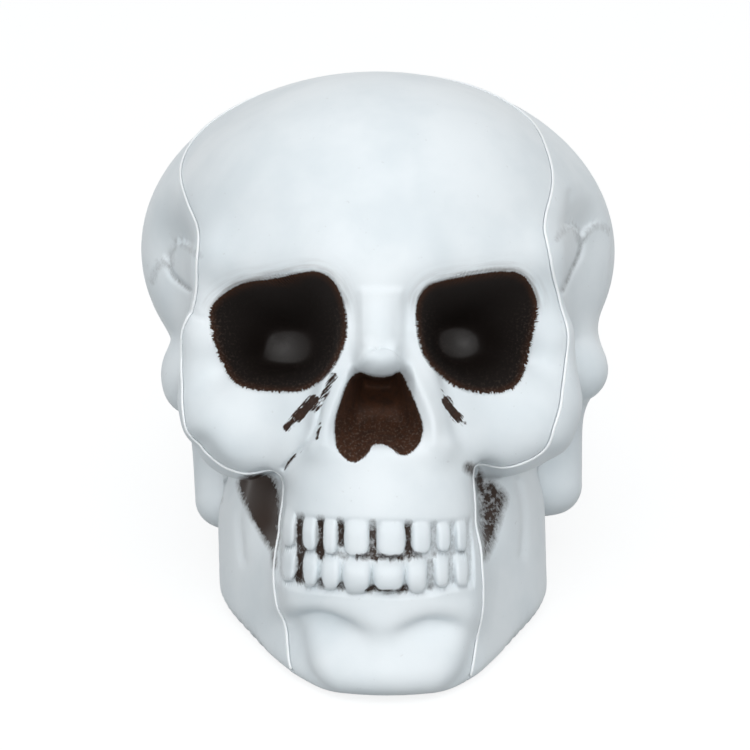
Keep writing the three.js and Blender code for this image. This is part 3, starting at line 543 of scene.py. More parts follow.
def knot_curve(knots, place):
    """A smooth curve through knots of place and value: cubic pieces with slopes taken from the neighbours."""
    x, y = np.array(knots, float).T
    before, after = np.maximum(np.arange(len(x)) - 1, 0), np.minimum(np.arange(len(x)) + 1, len(x) - 1)
    slope = (y[after] - y[before]) / (x[after] - x[before])
    i = np.clip(np.searchsorted(x, place) - 1, 0, len(x) - 2)
    width = x[i + 1] - x[i]
    t = (place - x[i]) / width
    rise = (t ** 3 - 2 * t ** 2 + t) * width * slope[i] + (t ** 3 - t ** 2) * width * slope[i + 1]
    return y[i] + (y[i + 1] - y[i]) * (3 * t ** 2 - 2 * t ** 3) + rise


def seam_away(turn):
    """The face seam's angle away from the nose bridge, on the left or the right side."""
    lift = np.degrees(np.arcsin(np.clip(np.sin(turn), -1, 1)))
    return np.radians(np.where(np.cos(turn) >= 0, knot_curve(LEFT_SEAM, lift), knot_curve(RIGHT_SEAM, lift)))


class Seam:
    """A line on the surface: its directions, the way across it, and the scale that makes offsets true."""

    def __init__(self, edge, across):
        self.edge = edge
        self.across = across
        reach = outer_radius(edge)[0][:, None]
        along = unit(np.gradient(HOLLOW_MIDDLE + reach * edge, axis=0))
        self.scale = reach
        step = self.point(SLOPE_STEP) - self.point(-SLOPE_STEP)
        square = step - along * (step * along).sum(1, keepdims=True)
        stretch = np.linalg.norm(square, axis=1) / (2 * SLOPE_STEP)
        self.scale = reach * np.maximum(stretch, LEAST_STRETCH)[:, None]
        self.normal = surface_normal(edge)

    def direction(self, offset):
        """Directions at an offset from the seam, measured along the surface."""
        return unit(self.edge * self.scale + self.across * offset)

    def point(self, offset, height=0.0):
        """Points at an offset from the seam and a height over the surface, but not under the floor."""
        point = surface_point(self.direction(offset))
        if np.any(height):
            point = point + self.normal * height
        point[:, 2] = np.maximum(point[:, 2], floor_height(point[:, 1]))
        return point


def face_seam(first, last):
    """The seam round the face between two angles, with the way across it going towards the back of the head.

    Its places are closer together below the mouth, by a bell of extra density.
    """
    turn = np.linspace(first, last, SEAM_TRIAL_STEPS)
    below = (turn + math.pi / 2 + math.pi) % (2 * math.pi) - math.pi
    travel = np.cumsum(1 + MOUTH_DENSITY * soft_line(below, MOUTH_SPREAD))
    count = round(SEAM_STEPS * (last - first) / (2 * math.pi)) + 1
    turn = np.interp(np.linspace(travel[0], travel[-1], count), travel, turn)
    away = seam_away(turn)
    return head_direction(away, turn), head_direction(away + math.pi / 2, turn)


def midline(side):
    """The seam from the top of the face seam over the back to its foot, with its way across to one side."""
    away = np.linspace(math.radians(SEAM_TOP), 2 * math.pi - math.radians(SEAM_UNDER), MIDLINE_STEPS + 1)
    edge = head_direction(away, math.pi / 2)
    return edge, np.broadcast_to([float(side), 0.0, 0.0], edge.shape)


def cranium_loop(side, edge, across):
    """One side's whole rim: the face seam on that side, then the midline back to its start."""
    middle_edge, middle_across = midline(side)
    if side < 0:
        middle_edge = middle_edge[::-1]
    corner = unit(across[[0, -1]] + [side, 0.0, 0.0])
    across = np.concatenate([corner[:1], across[1:-1], corner[1:]])
    return Seam(np.concatenate([edge, middle_edge[1:-1]]), np.concatenate([across, middle_across[1:-1]]))


# Meshes

def tilt_back(points):
    """Points of the head frame, tilted back as the skull stands."""
    x, y, z = points.T
    cos, sin = math.cos(REST_TILT), math.sin(REST_TILT)
    return np.stack([x, y * cos + z * sin, z * cos - y * sin], 1)


def to_row_frame(points):
    """Head frame to row frame: tilt back, stand on the floor, centre in plan, and change to metres."""
    return (tilt_back(points) + head_shift) * MM


def ring_triangles(points, rings, count):
    """Triangles between closed rings, split along each cell's shorter diagonal, and round both end points."""
    here = np.arange(rings - 1)[:, None] * count + np.arange(count)
    turn = np.roll(np.arange(count), -1)
    a, b = here, here + count
    c, d = b[:, turn], a[:, turn]
    a, b, c, d = (corner.ravel() for corner in (a, b, c, d))
    first = np.linalg.norm(points[a] - points[c], axis=1) <= np.linalg.norm(points[b] - points[d], axis=1)
    one = np.where(first[:, None], np.stack([a, b, c], 1), np.stack([a, b, d], 1))
    two = np.where(first[:, None], np.stack([a, c, d], 1), np.stack([b, c, d], 1))
    start, end = rings * count, rings * count + 1
    ring = np.arange(count)
    cap = np.stack([np.full(count, start), ring, turn], 1)
    foot = np.stack([np.full(count, end), start - count + turn, start - count + ring], 1)
    return np.concatenate([one, two, cap, foot])


def make_piece(name, points, triangles, fields=None):
    """A smooth mesh object from points in the head frame: faces outwards, paint fields as attributes."""
    p, q, r = (points[triangles[:, i]] for i in range(3))
    if np.einsum("ij,ij->", p, np.cross(q, r)) < 0:
        triangles = triangles[:, ::-1]
    mesh = bpy.data.meshes.new(name)
    mesh.from_pydata(to_row_frame(points), [], triangles)
    mesh.polygons.foreach_set("use_smooth", np.ones(len(triangles), bool))
    for field, values in (fields or {}).items():
        kind, slot = ("FLOAT", "value") if values.ndim == 1 else ("FLOAT_VECTOR", "vector")
        attribute = mesh.attributes.new(field, kind, "POINT")
        attribute.data.foreach_set(slot, values.astype(np.float32).ravel())
    mesh.update()
    piece = bpy.data.objects.new(name, mesh)
    bpy.context.scene.collection.objects.link(piece)
    return piece


def bowl(middle, seam, rows):
    """A thin bowl from a middle direction to its seam: outer rows on great circles, rim, fewer inner rows.

    An inner point lies a wall's thickness under the deepest outer point of the rows up to its neighbours.
    """
    half_gap = SEAM_GAP / 2
    starts = seam.direction(half_gap + SEAM_CHAMFER)
    angle = np.arccos(np.clip(starts @ middle, -1, 1))[None, :, None]
    share = (np.arange(1, rows + 1) / rows)[:, None, None]
    directions = unit(np.sin((1 - share) * angle) * middle + np.sin(share * angle) * starts)
    radius, place = outer_radius(directions)
    outer = HOLLOW_MIDDLE + radius[..., None] * directions
    rim = [seam.point(half_gap, -depth) for depth in (SEAM_CHAMFER, WALL)]
    picked = np.arange(rows - INNER_STEP, 0, -INNER_STEP)
    deepest = np.stack([radius[max(row - INNER_STEP, 0):row + INNER_STEP].min(0) for row in picked])
    inner = HOLLOW_MIDDLE + (deepest - WALL)[..., None] * directions[picked - 1]
    centre_radius, centre_place = outer_radius(np.array([middle]))
    poles = HOLLOW_MIDDLE + np.array([[centre_radius[0]], [deepest[-1].min() - WALL]]) * middle
    points = np.concatenate([outer.reshape(-1, 3), *rim, inner.reshape(-1, 3), poles])
    rings = rows + len(rim) + len(picked)
    hidden = np.full((len(points) - rows * len(starts), 2), np.inf)
    hidden[-2] = centre_place[0]
    places = np.concatenate([place.reshape(-1, 2), hidden])
    return points, ring_triangles(points, rings, len(starts)), places


def bead(seam):
    """Cement along a seam, where it is clear of the floor: a low half-oval over a V foot, a little uneven."""
    heights = seam.point(0.0)
    clear = heights[:, 2] - floor_height(heights[:, 1]) > BEAD_FLOOR_GAP
    travel = np.arange(len(clear)) / len(clear) * 2 * math.pi
    waves = sum(np.sin(count * travel + start) for count, start in BEAD_WAVES)
    uneven = 1 + BEAD_UNEVEN * waves / len(BEAD_WAVES)
    turns = np.linspace(0, math.pi, BEAD_POINTS)
    section = [(BEAD_HALF_WIDTH * math.cos(t), BEAD_PROUD * math.sin(t)) for t in turns] + [(0, -BEAD_FOOT)]
    rings = np.stack([seam.point(offset, (height * uneven)[:, None] if height > 0 else height)
                      for offset, height in section], 1)[clear]
    points = rings.reshape(-1, 3)
    poles = np.stack([rings[0].mean(0), rings[-1].mean(0)])
    return np.concatenate([points, poles]), ring_triangles(points, len(rings), len(section))


# Where the brushed paint and the painted shade are, drawn in the front plane, with lengths in millimetres

PAINT_CLEAR = 40
PAINT_PAST = 0.2
PAINT_SOFTNESS = 0.6
SMEAR_SOFTNESS = 2.4
BRISTLE_LENGTH, TOP_BRISTLE_LENGTH = 0.55, 0.1
NOSE_BRISTLE_LENGTH = 0.25
BRISTLE_TOP, BRISTLE_FADE = 28, 12
STROKE_RADIUS, STROKE_SQUEEZE = 20, 0.12
SMEAR_PLACE = 60
BROWN_EDGE, BROWN_REACH = 0.4, 2.6
WORN_REACH = 3.5
NOSE_WORN_TOP, NOSE_WORN_REACH = -7, 12
NOSE_BROWN, SMEAR_BROWN, SMEAR_WORN = 0.85, 0.4, 0.15
# Brown-grey spray along the sockets' upper rims, which is also painted shade under the brows
OVERSPRAY_SHADE_REACH, OVERSPRAY_SHADE_SHARE, OVERSPRAY_SHADE_FOOT, OVERSPRAY_SHADE_FADE = 1.6, 0.75, 18, 8
GLOSS_MIDDLES = ((-33, 8), (29, 10))
GLOSS_REACH, GLOSS_RADIUS = 1.3, 12
GAP_REACH = 1.9
GAP_TINT = 0.22
POCKET_SOFTNESS = 5
# Smears: a line, a half width and a strength
SMEARS = (
    (((-20.8, -8.2), (-23.4, -10.6), (-26, -13.4)), 1.8, 1.2),
    (((-25, -12.4), (-29.4, -16.8)), 1.2, 1.1),
    (((-14.4, -0.4), (-17.8, -6.7), (-20.3, -10.9)), 1.5, 0.66),
    (((-18.7, -15.6), (-19.8, -20.4)), 0.4, 1),
    (((-22.9, -21.4), (-25.4, -25.2)), 0.35, 0.6),
    (((-26.8, -25.4), (-30, -30.2)), 0.45, 1),
    (((21.8, -8.4), (23.6, -11.6), (25.6, -13.8)), 1.5, 1.15),
    (((25, -13.4), (27.4, -15.6)), 0.9, 0.8),
    (((20.2, -4.6), (21.8, -8)), 0.5, 0.6),
)
SMEAR_SLANT = math.radians(46)

# Thin brown paint and painted shade: an outline and a strength, then lines, each with a width and a strength
POCKET_PAINT = (
    (((-44.4, -34.6), (-33.4, -34.2), (-32.8, -54), (-36.4, -52)), 1.6),
    (((32.8, -34.6), (40.6, -38.2), (39.6, -44.2), (38.2, -48.9), (36.4, -54.4), (33.6, -58)), 0.95),
)
# Painted shade along the temple lobes: dark lines in their creases and over their upper edges, a width and a
# strength
LOBE_CREASE_SHADE, LOBE_EDGE_SHADE = (0.8, 0.42), (1.6, 0.27)
# Brown marks beside the jaw's pockets and down its side, then the painted shade along the lobes
SIDE_WASHES_AND_SHADES = (
    (((29, -29.6), (31.6, -32), (33.2, -36.8)), 1.8, 1),
    (((-52.4, -32.4), (-52, -36), (-51.4, -40)), 1.3, 0.8),
    (((-34.6, -50), (-33.6, -56), (-33.4, -61)), 1.2, 0.7),
    *((line, *LOBE_CREASE_SHADE) for line in LOBE_CREASES),
    *((outline[:LOBE_EDGE_POINTS], *LOBE_EDGE_SHADE) for outline in LOBE_EDGES),
)
GAP_PAINT = (
    (((-25.1, -45), (-24.9, -51), (-24.4, -55.8), (-25.1, -58), (-25.1, -65.4)), 1.6, 1.0),
    (((-18.6, -45.8), (-18.6, -52), (-18.7, -57.8)), 1.5, 1.0),
    (((-12.2, -46), (-12.1, -54)), 1.3, 0.95),
    (((-1.9, -47), (-1.8, -58)), 1.2, 0.85),
    (((9.7, -47), (9.7, -57.6)), 1.4, 0.9),
    (((17.8, -47), (17.8, -57)), 1.2, 0.45),
    (((23.6, -47), (23.5, -57)), 1.0, 0.35),
    (((-6.4, -57.8), (0, -58.4), (7.4, -58.2)), 1.1, 0.8),
    (((-14, -57.4), (-10.4, -58)), 1.1, 0.4),
    (((8.8, -58), (13, -57.6)), 1.1, 0.55),
    (((-18.5, -66), (-18.4, -67.8)), 1.1, 0.8),
    (((-12, -67.4), (-11.6, -69.2)), 1.2, 0.9),
    (((-3.4, -69.4), (-1.9, -68.2), (2, -69.6), (6, -69.6), (8.6, -68.2)), 1.1, 0.9),
    (((16.6, -60), (16.6, -68)), 1.1, 0.5),
    (((23.2, -59), (23.2, -66)), 1.0, 0.35),
)


def stroke_places(u, v, distances, smear):
    """Places on which noise draws bristle marks: it varies round the nearest hollow, slowly outwards from it.

    On a smear it varies across a slanting direction, and slowly along it.
    """
    nearest = distances.argmin(0)
    middles = np.array([np.mean(outline, axis=0) for outline in HOLLOWS])
    away = np.stack([u, v], 1) - middles[nearest]
    reach = np.hypot(*away.T)
    stroke = np.concatenate([away / reach[:, None] * STROKE_RADIUS, (reach * STROKE_SQUEEZE)[:, None]], 1)
    along = np.abs(u) * math.cos(SMEAR_SLANT) - v * math.sin(SMEAR_SLANT)
    across = np.abs(u) * math.sin(SMEAR_SLANT) + v * math.cos(SMEAR_SLANT)
    slanting = np.stack([across, along * STROKE_SQUEEZE, np.full(len(u), SMEAR_PLACE)], 1)
    return np.where((smear > 0)[:, None], slanting, stroke)


def streak_places(u, v, distances):
    """Places on which noise draws streaks along an outline: it varies outwards, slowly round the hollow."""
    return np.stack([u * STROKE_SQUEEZE, distances.min(0), v * STROKE_SQUEEZE], 1)


def wash_and_shade_shares(u, v):
    """Thin brown paint in the tooth gaps, in the jaw's pockets and beside them; painted shade along the
    temple lobes.
    """
    gap = (1 - ease(GAP_REACH * tooth_pads(u, v))) * tooth_band(u, v)
    shares = [GAP_TINT * gap]
    for line, width, strength in GAP_PAINT:
        shares.append(strength * gap * edge_share(width - line_distance(u, v, line), PAINT_SOFTNESS))
    for outline, strength in POCKET_PAINT:
        shares.append(strength * edge_share(-outline_distance(u, v, outline), POCKET_SOFTNESS))
    for line, width, strength in SIDE_WASHES_AND_SHADES:
        shares.append(strength * soft_line(line_distance(u, v, curve_points(line, False)), width))
    return np.maximum.reduce(shares)


def paint_fields(places):
    """Fields that the paint is drawn from.

    edge: distance to the edge of the paint in the sockets and the nose, negative inside. bristle: how far its
    edge is ragged, in millimetres. smear: dry-brushed smears. wash_and_shade: thin brown, and painted shade
    along
    the temple lobes. overspray_and_shade: brown-grey spray, and painted shade under the brows at the sockets'
    upper rims. brown: how brown the paint is. worn: where its specks have come off. gloss: the smooth middle
    of a
    socket. stroke: for bristle marks. streak: for the streaks of spray and painted shade. seen: the place in
    the front plane, for specks that keep their size on a wall.
    """
    seen = np.isfinite(places[:, 0])
    u, v = places[seen].T
    distances = np.stack([outline_distance(u, v, outline) for outline in HOLLOWS])
    distances -= PAINT_PAST
    edge = distances.min(0)
    socket, nose = distances[:2].min(0), distances[2]
    smear = np.maximum.reduce([
        strength * edge_share(width - line_distance(u, v, curve_points(line, False)), SMEAR_SOFTNESS)
        for line, width, strength in SMEARS
    ])
    lower = ease((BRISTLE_TOP - v) / BRISTLE_FADE)
    bristle = TOP_BRISTLE_LENGTH + (BRISTLE_LENGTH - TOP_BRISTLE_LENGTH) * lower
    brown = ease((socket + BROWN_REACH) / (BROWN_REACH + BROWN_EDGE))
    brown = np.where(nose < socket, NOSE_BROWN, brown)
    worn = lower * np.exp(np.minimum(socket, 0) / WORN_REACH)
    worn = np.where(nose < socket, ease((NOSE_WORN_TOP - v) / NOSE_WORN_REACH), worn)
    # Brown-grey spray above each socket, darkest at its upper rim: painted shade under the brow as well as
    # spray
    overspray_and_shade = OVERSPRAY_SHADE_SHARE * np.exp(-np.maximum(socket, 0) / OVERSPRAY_SHADE_REACH) * ease((v - OVERSPRAY_SHADE_FOOT) / OVERSPRAY_SHADE_FADE)
    gloss = sum(ease(GLOSS_REACH - np.hypot(u - x, v - z) / GLOSS_RADIUS) for x, z in GLOSS_MIDDLES)
    values = {
        "edge": edge,
        "bristle": np.where(nose < socket, NOSE_BRISTLE_LENGTH, bristle),
        "smear": smear,
        "wash_and_shade": wash_and_shade_shares(u, v),
        "overspray_and_shade": overspray_and_shade,
        "brown": np.where(smear > 0, SMEAR_BROWN, brown),
        "worn": np.where(smear > 0, SMEAR_WORN, worn),
        "gloss": gloss,
        "stroke": stroke_places(u, v, distances, smear),
        "streak": streak_places(u, v, distances),
        "seen": np.stack([u, v, np.zeros(len(u))], 1),
    }
    fields = {}
    for name, seen_values in values.items():
        whole = np.full((len(places), *seen_values.shape[1:]), PAINT_CLEAR if name == "edge" else 0, float)
        whole[seen] = seen_values
        fields[name] = whole
    return fields


# Materials

def linear(hex_colour):
    """An sRGB hex colour as linear red, green, blue and full alpha."""
    shares = [int(hex_colour[i:i + 2], 16) / 255 for i in (1, 3, 5)]
    return (*(s / 12.92 if s <= 0.04045 else ((s + 0.055) / 1.055) ** 2.4 for s in shares), 1.0)


def per_metre(millimetres):
    """Scale of a pattern whose features are this large, on coordinates in metres."""
    return 1 / (millimetres * MM)


def add_node(tree, kind, *inputs, take=0, **settings):
    """Adds a node with its settings, gives its inputs in turn a value or a link, and returns one output."""
    node = tree.nodes.new(kind)
    for name, value in settings.items():
        setattr(node, name, value)
    for socket, value in zip([socket for socket in node.inputs if socket.enabled], inputs):
        if isinstance(value, bpy.types.NodeSocket):
            tree.links.new(value, socket)
        elif value is not None:
            socket.default_value = value
    outputs = [socket for socket in node.outputs if socket.enabled]
    return outputs[take] if outputs else None


def new_material(name):
    """An empty material with its shader and output."""
    material = bpy.data.materials.new(name)
    material.use_nodes = True
    tree = material.node_tree
    tree.nodes.clear()
    surface = add_node(tree, "ShaderNodeBsdfPrincipled")
    add_node(tree, "ShaderNodeOutputMaterial", surface)
    return material, tree, surface.node.inputs


# Noise on the object's own place: size of its features in millimetres, detail and roughness
PLASTIC_NOISE = {
    "clouds": (28, 4.0, 0.5), "grain": (1.1, 2.0, 0.5), "specks": (1.6, 1.0, 0.5),
    "fine": (0.9, 3.0, 0.65), "blotches": (2.6, 3.0, 0.6),
}
# Noise on a field of places in millimetres: the field, and the same three
FIELD_NOISE = {
    "bristles": ("stroke", 0.55, 3.0, 0.6), "wear": ("seen", 0.8, 3.0, 0.65),
    "streaks": ("streak", 1.3, 3.0, 0.6),
}
# How far noise shifts an edge, or breaks a cover up: the noise, a low and a high value, and what they become
NOISE_SPREAD = {
    "bristle_marks": ("bristles", 0.3, 0.7, -1.0, 1.0), "fine_marks": ("fine", 0.3, 0.7, -1.0, 1.0),
    "dry_brush": ("bristles", 0.3, 0.7, 0.5, 1.5), "thin_places": ("fine", 0.25, 0.75, 0.75, 1.25),
    "uneven": ("blotches", 0.35, 0.7, 0.2, 1.6), "mottle": ("blotches", 0.3, 0.7, 0.75, 1.25),
    "overspray_shade_streaks": ("streaks", 0.3, 0.7, 0.0, 1.0), "specks": ("specks", 0.74, 0.8, 0.0, 0.12),
    "brown": ("blotches", 0.3, 0.7, 0.55, 1.1), "chips": ("wear", 0.5, 0.7, 0.0, 0.6),
    "clouds": ("clouds", 0.3, 0.7, 0.0, 1.0),
}
FINE_MARK_LENGTH, EDGE_BLUR = 0.12, 0.18
SMEAR_LIMITS, WASH_AND_SHADE_LIMITS = (0.42, 0.68), (0.1, 0.9)
PLASTIC_COLOUR, CLOUD_COLOUR, SPECK_COLOUR = "#dde6eb", "#e9f0f4", "#8d8a84"
PAINT_COLOUR, BROWN_COLOUR, CHIP_COLOUR = "#1c1715", "#482c1c", "#75685f"
# The brown-grey spray colour is also painted shade under the brows, the thin brown one painted shade at the
# lobes
OVERSPRAY_AND_SHADE_COLOUR, WASH_AND_SHADE_COLOUR = "#5f4d40", "#2e211a"
PLASTIC_ROUGHNESS, PAINT_ROUGHNESS, GLOSS_ROUGHNESS = 0.42, 0.75, 0.38
PLASTIC_BUMP, PLASTIC_BUMP_HEIGHT, GRAIN_SHARE = 0.25, 0.15, 0.4
PLASTIC_IOR, PLASTIC_SPECULAR = 1.53, 0.2
CEMENT_COLOURS = ("#eef4f7", "#fafdff")
CEMENT_WAVE_SIZE, CEMENT_WAVE_DETAIL = 3, 2.0
CEMENT_BUMP, CEMENT_BUMP_HEIGHT = 0.3, 0.2
CEMENT_ROUGHNESS, CEMENT_IOR = 0.3, 1.49

# Which output is taken: the object's own place, or an attribute's vector or value
OBJECT_PLACE = 3
FIELD_VECTOR, FIELD_VALUE = 1, 2


def painted_pvc():
    """Satin white PVC, blow-moulded, with brown-black acrylic brushed into the hollows.

    The eye gets a cool white with faint clouds and specks, a soft sheen, bristle marks round the dark paint,
    brown where the paint is thin or worn, painted shade under the brows and along the temple lobes, and a
    glossier floor in the sockets.
    """
    material, tree, surface = new_material("painted_white_pvc")
    place = add_node(tree, "ShaderNodeTexCoord", take=OBJECT_PLACE)
    noise = {}
    for name, (size, detail, roughness) in PLASTIC_NOISE.items():
        noise[name] = add_node(tree, "ShaderNodeTexNoise", place, per_metre(size), detail, roughness)
    field = {}
    for name in ("edge", "bristle", "smear", "wash_and_shade", "overspray_and_shade", "brown", "worn", "gloss"):
        field[name] = add_node(tree, "ShaderNodeAttribute", take=FIELD_VALUE, attribute_name=name)
    for name, (source, size, detail, roughness) in FIELD_NOISE.items():
        vector = add_node(tree, "ShaderNodeAttribute", take=FIELD_VECTOR, attribute_name=source)
        noise[name] = add_node(tree, "ShaderNodeTexNoise", vector, 1 / size, detail, roughness)
    spread = {}
    for name, (source, *limits) in NOISE_SPREAD.items():
        spread[name] = add_node(
            tree, "ShaderNodeMapRange", noise[source], *limits, interpolation_type="SMOOTHSTEP",
        )

    length = add_node(tree, "ShaderNodeMath", field["bristle"], spread["uneven"], operation="MULTIPLY")
    ragged = field["edge"]
    for marks, reach in ((spread["bristle_marks"], length), (spread["fine_marks"], FINE_MARK_LENGTH)):
        ragged = add_node(tree, "ShaderNodeMath", marks, reach, ragged, operation="MULTIPLY_ADD")
    covered = add_node(tree, "ShaderNodeMapRange", ragged, EDGE_BLUR, -EDGE_BLUR)
    brushed = add_node(tree, "ShaderNodeMath", field["smear"], spread["dry_brush"], operation="MULTIPLY")
    brushed = add_node(tree, "ShaderNodeMath", brushed, spread["thin_places"], operation="MULTIPLY")
    brushed = add_node(tree, "ShaderNodeMapRange", brushed, *SMEAR_LIMITS)
    painted = add_node(tree, "ShaderNodeMath", covered, brushed, operation="MAXIMUM")
    # Thin brown paint, and painted shade along the temple lobes, broken up where the paint is thin
    washed_and_shaded = add_node(tree, "ShaderNodeMath", spread["thin_places"], spread["mottle"], operation="MULTIPLY")
    washed_and_shaded = add_node(tree, "ShaderNodeMath", field["wash_and_shade"], washed_and_shaded, operation="MULTIPLY")
    washed_and_shaded = add_node(tree, "ShaderNodeMapRange", washed_and_shaded, *WASH_AND_SHADE_LIMITS)
    # Brown-grey spray and painted shade under the brows, broken into streaks
    overspray_and_shading = add_node(tree, "ShaderNodeMath", field["overspray_and_shade"], spread["overspray_shade_streaks"], operation="MULTIPLY")
    brown = add_node(tree, "ShaderNodeMath", field["brown"], spread["brown"], operation="MULTIPLY")
    worn = add_node(tree, "ShaderNodeMath", field["worn"], spread["chips"], operation="MULTIPLY")

    paint = linear(PAINT_COLOUR)
    for share, layer in ((brown, BROWN_COLOUR), (worn, CHIP_COLOUR)):
        paint = add_node(tree, "ShaderNodeMix", share, paint, linear(layer), data_type="RGBA")
    colour = linear(PLASTIC_COLOUR)
    for share, layer in (
        (spread["clouds"], linear(CLOUD_COLOUR)), (spread["specks"], linear(SPECK_COLOUR)),
        (overspray_and_shading, linear(OVERSPRAY_AND_SHADE_COLOUR)), (washed_and_shaded, linear(WASH_AND_SHADE_COLOUR)), (painted, paint),
    ):
        colour = add_node(tree, "ShaderNodeMix", share, colour, layer, data_type="RGBA")
    tree.links.new(colour, surface["Base Color"])

    limits = (0.0, 1.0, PAINT_ROUGHNESS, GLOSS_ROUGHNESS)
    rough_paint = add_node(tree, "ShaderNodeMapRange", field["gloss"], *limits)
    roughness = add_node(tree, "ShaderNodeMix", painted, PLASTIC_ROUGHNESS, rough_paint)
    tree.links.new(roughness, surface["Roughness"])
    height = add_node(tree, "ShaderNodeMath", painted, noise["bristles"], operation="MULTIPLY")
    height = add_node(tree, "ShaderNodeMath", noise["grain"], GRAIN_SHARE, height, operation="MULTIPLY_ADD")
    bump = add_node(tree, "ShaderNodeBump", PLASTIC_BUMP, PLASTIC_BUMP_HEIGHT * MM, None, height)
    tree.links.new(bump, surface["Normal"])
    surface["IOR"].default_value = PLASTIC_IOR
    surface["Specular IOR Level"].default_value = PLASTIC_SPECULAR
    return material


def solvent_cement():
    """White solvent cement that squeezed out and set: smoother and brighter than the moulded plastic."""
    material, tree, surface = new_material("white_solvent_cement")
    place = add_node(tree, "ShaderNodeTexCoord", take=OBJECT_PLACE)
    waves = add_node(tree, "ShaderNodeTexNoise", place, per_metre(CEMENT_WAVE_SIZE), CEMENT_WAVE_DETAIL)
    low, high = (linear(colour) for colour in CEMENT_COLOURS)
    colour = add_node(tree, "ShaderNodeMix", waves, low, high, data_type="RGBA")
    tree.links.new(colour, surface["Base Color"])
    bump = add_node(tree, "ShaderNodeBump", CEMENT_BUMP, CEMENT_BUMP_HEIGHT * MM, None, waves)
    tree.links.new(bump, surface["Normal"])
    surface["Roughness"].default_value = CEMENT_ROUGHNESS
    surface["IOR"].default_value = CEMENT_IOR
    return material


# Pieces

quarter = math.pi / 2
front_edge, front_across = face_seam(-quarter, 3 * quarter)
left_edge, left_across = face_seam(-quarter, quarter)
right_edge, right_across = face_seam(quarter, 3 * quarter)
forward, leftward, rightward = np.array([(0, -1, 0), (1, 0, 0), (-1, 0, 0)], float)

shells = {
    "face_shell": bowl(forward, Seam(front_edge[:-1], -front_across[:-1]), FACE_ROWS),
    "left_cranium_shell": bowl(leftward, cranium_loop(1, left_edge, left_across), CRANIUM_ROWS),
    "right_cranium_shell": bowl(rightward, cranium_loop(-1, right_edge, right_across), CRANIUM_ROWS),
}
beads = {
    "face_seam_bead": bead(Seam(front_edge[:-1], front_across[:-1])),
    "crown_seam_bead": bead(Seam(*midline(1))),
}

# The row frame's origin is under the middle of the box, on the floor
every_point = np.concatenate([points for points, *_ in (*shells.values(), *beads.values())])
tilted = tilt_back(every_point)
head_shift = -(tilted.max(0) + tilted.min(0)) / 2
head_shift[2] = -tilted[:, 2].min()

pvc = painted_pvc()
cement = solvent_cement()
for node_name, (points, triangles, places) in shells.items():
    shell = make_piece(node_name.replace("_shell", "_moulding"), points, triangles, paint_fields(places))
    shell.data.materials.append(pvc)
    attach(shell, "root")
    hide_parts(node_name)
for node_name, (points, triangles) in beads.items():
    line = make_piece(node_name.replace("_bead", "_cement"), points, triangles)
    line.data.materials.append(cement)
    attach(line, "root")
    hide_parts(node_name)

# Floor, light and camera

WHITE = (1, 1, 1, 1)
FLOOR_HALF = 4.0
FLOOR_COLOUR = "#8c8f90"
FLOOR_GLOW = 0.8
FLOOR_ROUGHNESS, FLOOR_SPECULAR = 0.9, 0.1
SURROUND_STRENGTH = 0.53
SKULL_MIDDLE = (0.0, -0.02, 0.085)
# Square soft lights: place and side in metres, and power in watts
SOFTBOXES = {
    "top_softbox": ((0.0, -1.1, 1.6), 1.1, 8),
    "front_softbox": ((0.0, -1.8, 0.75), 0.4, 8.5),
    "left_softbox": ((1.3, -1.2, 0.9), 1.2, 3),
    "right_softbox": ((-1.1, -1.4, 0.9), 1.2, 4),
}
# The camera: the picture's side and the column of the skull's midline in pixels, the scale at the plane
# y = 0, and the sensor's width in millimetres
IMAGE_SIDE = 750
SKULL_COLUMN = 378.5
PIXELS_PER_MM = 3.12
SENSOR = 36.0


def ray_white(tree):
    """Share of rays that see the plain white surround: those from the camera, reflections and clear parts."""
    share = add_node(tree, "ShaderNodeLightPath")
    path = share.node.outputs
    for name in ("Is Glossy Ray", "Is Transmission Ray"):
        share = add_node(tree, "ShaderNodeMath", share, path[name], operation="MAXIMUM")
    return share


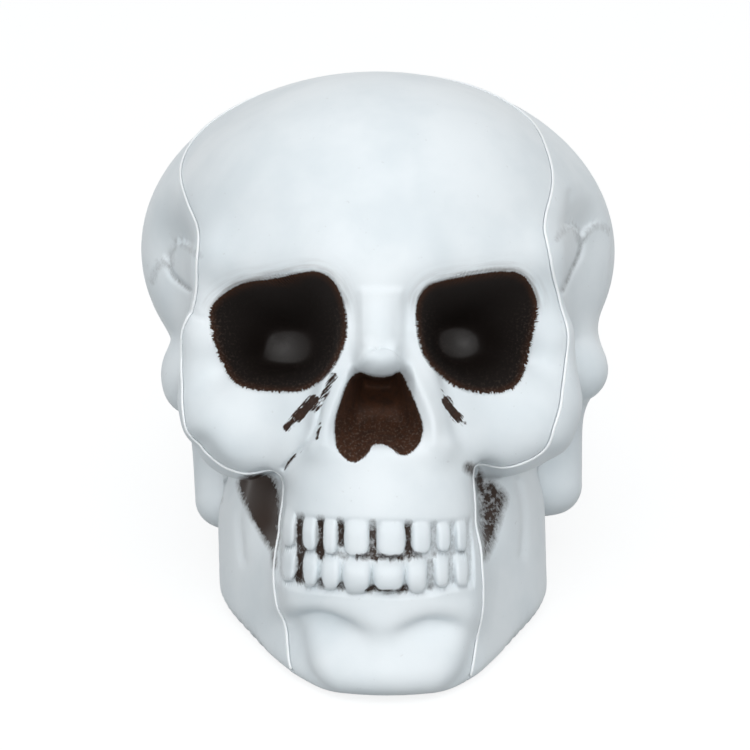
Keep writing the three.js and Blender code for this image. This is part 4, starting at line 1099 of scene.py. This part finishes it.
def floor_piece():
    """A wide level floor of pale matt paper, which shows white to the eye and keeps the shadow."""
    mesh = bpy.data.meshes.new("floor")
    corners = np.array([(-1, -1, 0), (1, -1, 0), (1, 1, 0), (-1, 1, 0)], float) * FLOOR_HALF
    mesh.from_pydata(corners, [], [(0, 1, 2, 3)])
    material, tree, surface = new_material("pale_matt_paper")
    surface["Base Color"].default_value = linear(FLOOR_COLOUR)
    surface["Roughness"].default_value = FLOOR_ROUGHNESS
    surface["Specular IOR Level"].default_value = FLOOR_SPECULAR
    surface["Emission Color"].default_value = WHITE
    glow = add_node(tree, "ShaderNodeMath", ray_white(tree), FLOOR_GLOW, operation="MULTIPLY")
    tree.links.new(glow, surface["Emission Strength"])
    mesh.materials.append(material)
    floor = bpy.data.objects.new("floor", mesh)
    bpy.context.scene.collection.objects.link(floor)


def surround():
    """A white surround to the eye, and an even soft light on the object."""
    world = bpy.data.worlds.new("surround")
    world.use_nodes = True
    tree = world.node_tree
    tree.nodes.clear()
    lighting = add_node(tree, "ShaderNodeBackground", WHITE, SURROUND_STRENGTH)
    white = add_node(tree, "ShaderNodeBackground", WHITE, 1.0)
    both = add_node(tree, "ShaderNodeMixShader", ray_white(tree), lighting, white)
    add_node(tree, "ShaderNodeOutputWorld", both)
    bpy.context.scene.world = world


def softbox(name, place, size, power):
    """A square soft white light at a place, turned to the skull."""
    light = bpy.data.lights.new(name, "AREA")
    light.shape = "SQUARE"
    light.size = size
    light.energy = power
    lamp = bpy.data.objects.new(name, light)
    direction = np.subtract(SKULL_MIDDLE, place)
    flat = math.hypot(direction[0], direction[1])
    lamp.location = place
    lamp.rotation_euler = (math.atan2(flat, -direction[2]), 0, math.atan2(-direction[0], direction[1]))
    bpy.context.scene.collection.objects.link(lamp)


floor_piece()
surround()
for name, (place, size, power) in SOFTBOXES.items():
    softbox(name, place, size, power)

camera = bpy.data.cameras.new("camera")
camera.sensor_width = SENSOR
camera.lens = SENSOR * PIXELS_PER_MM * VIEW_DISTANCE / IMAGE_SIDE
camera.shift_x = -(SKULL_COLUMN - IMAGE_SIDE / 2) / IMAGE_SIDE
viewer = bpy.data.objects.new("camera", camera)
viewer.location = to_row_frame(np.array([[0.0, -VIEW_DISTANCE, 0.0]]))[0]
viewer.rotation_euler = (math.pi / 2 - REST_TILT, 0, 0)
bpy.context.scene.collection.objects.link(viewer)
bpy.context.scene.camera = viewer
bpy.context.scene.view_settings.view_transform = "Standard"
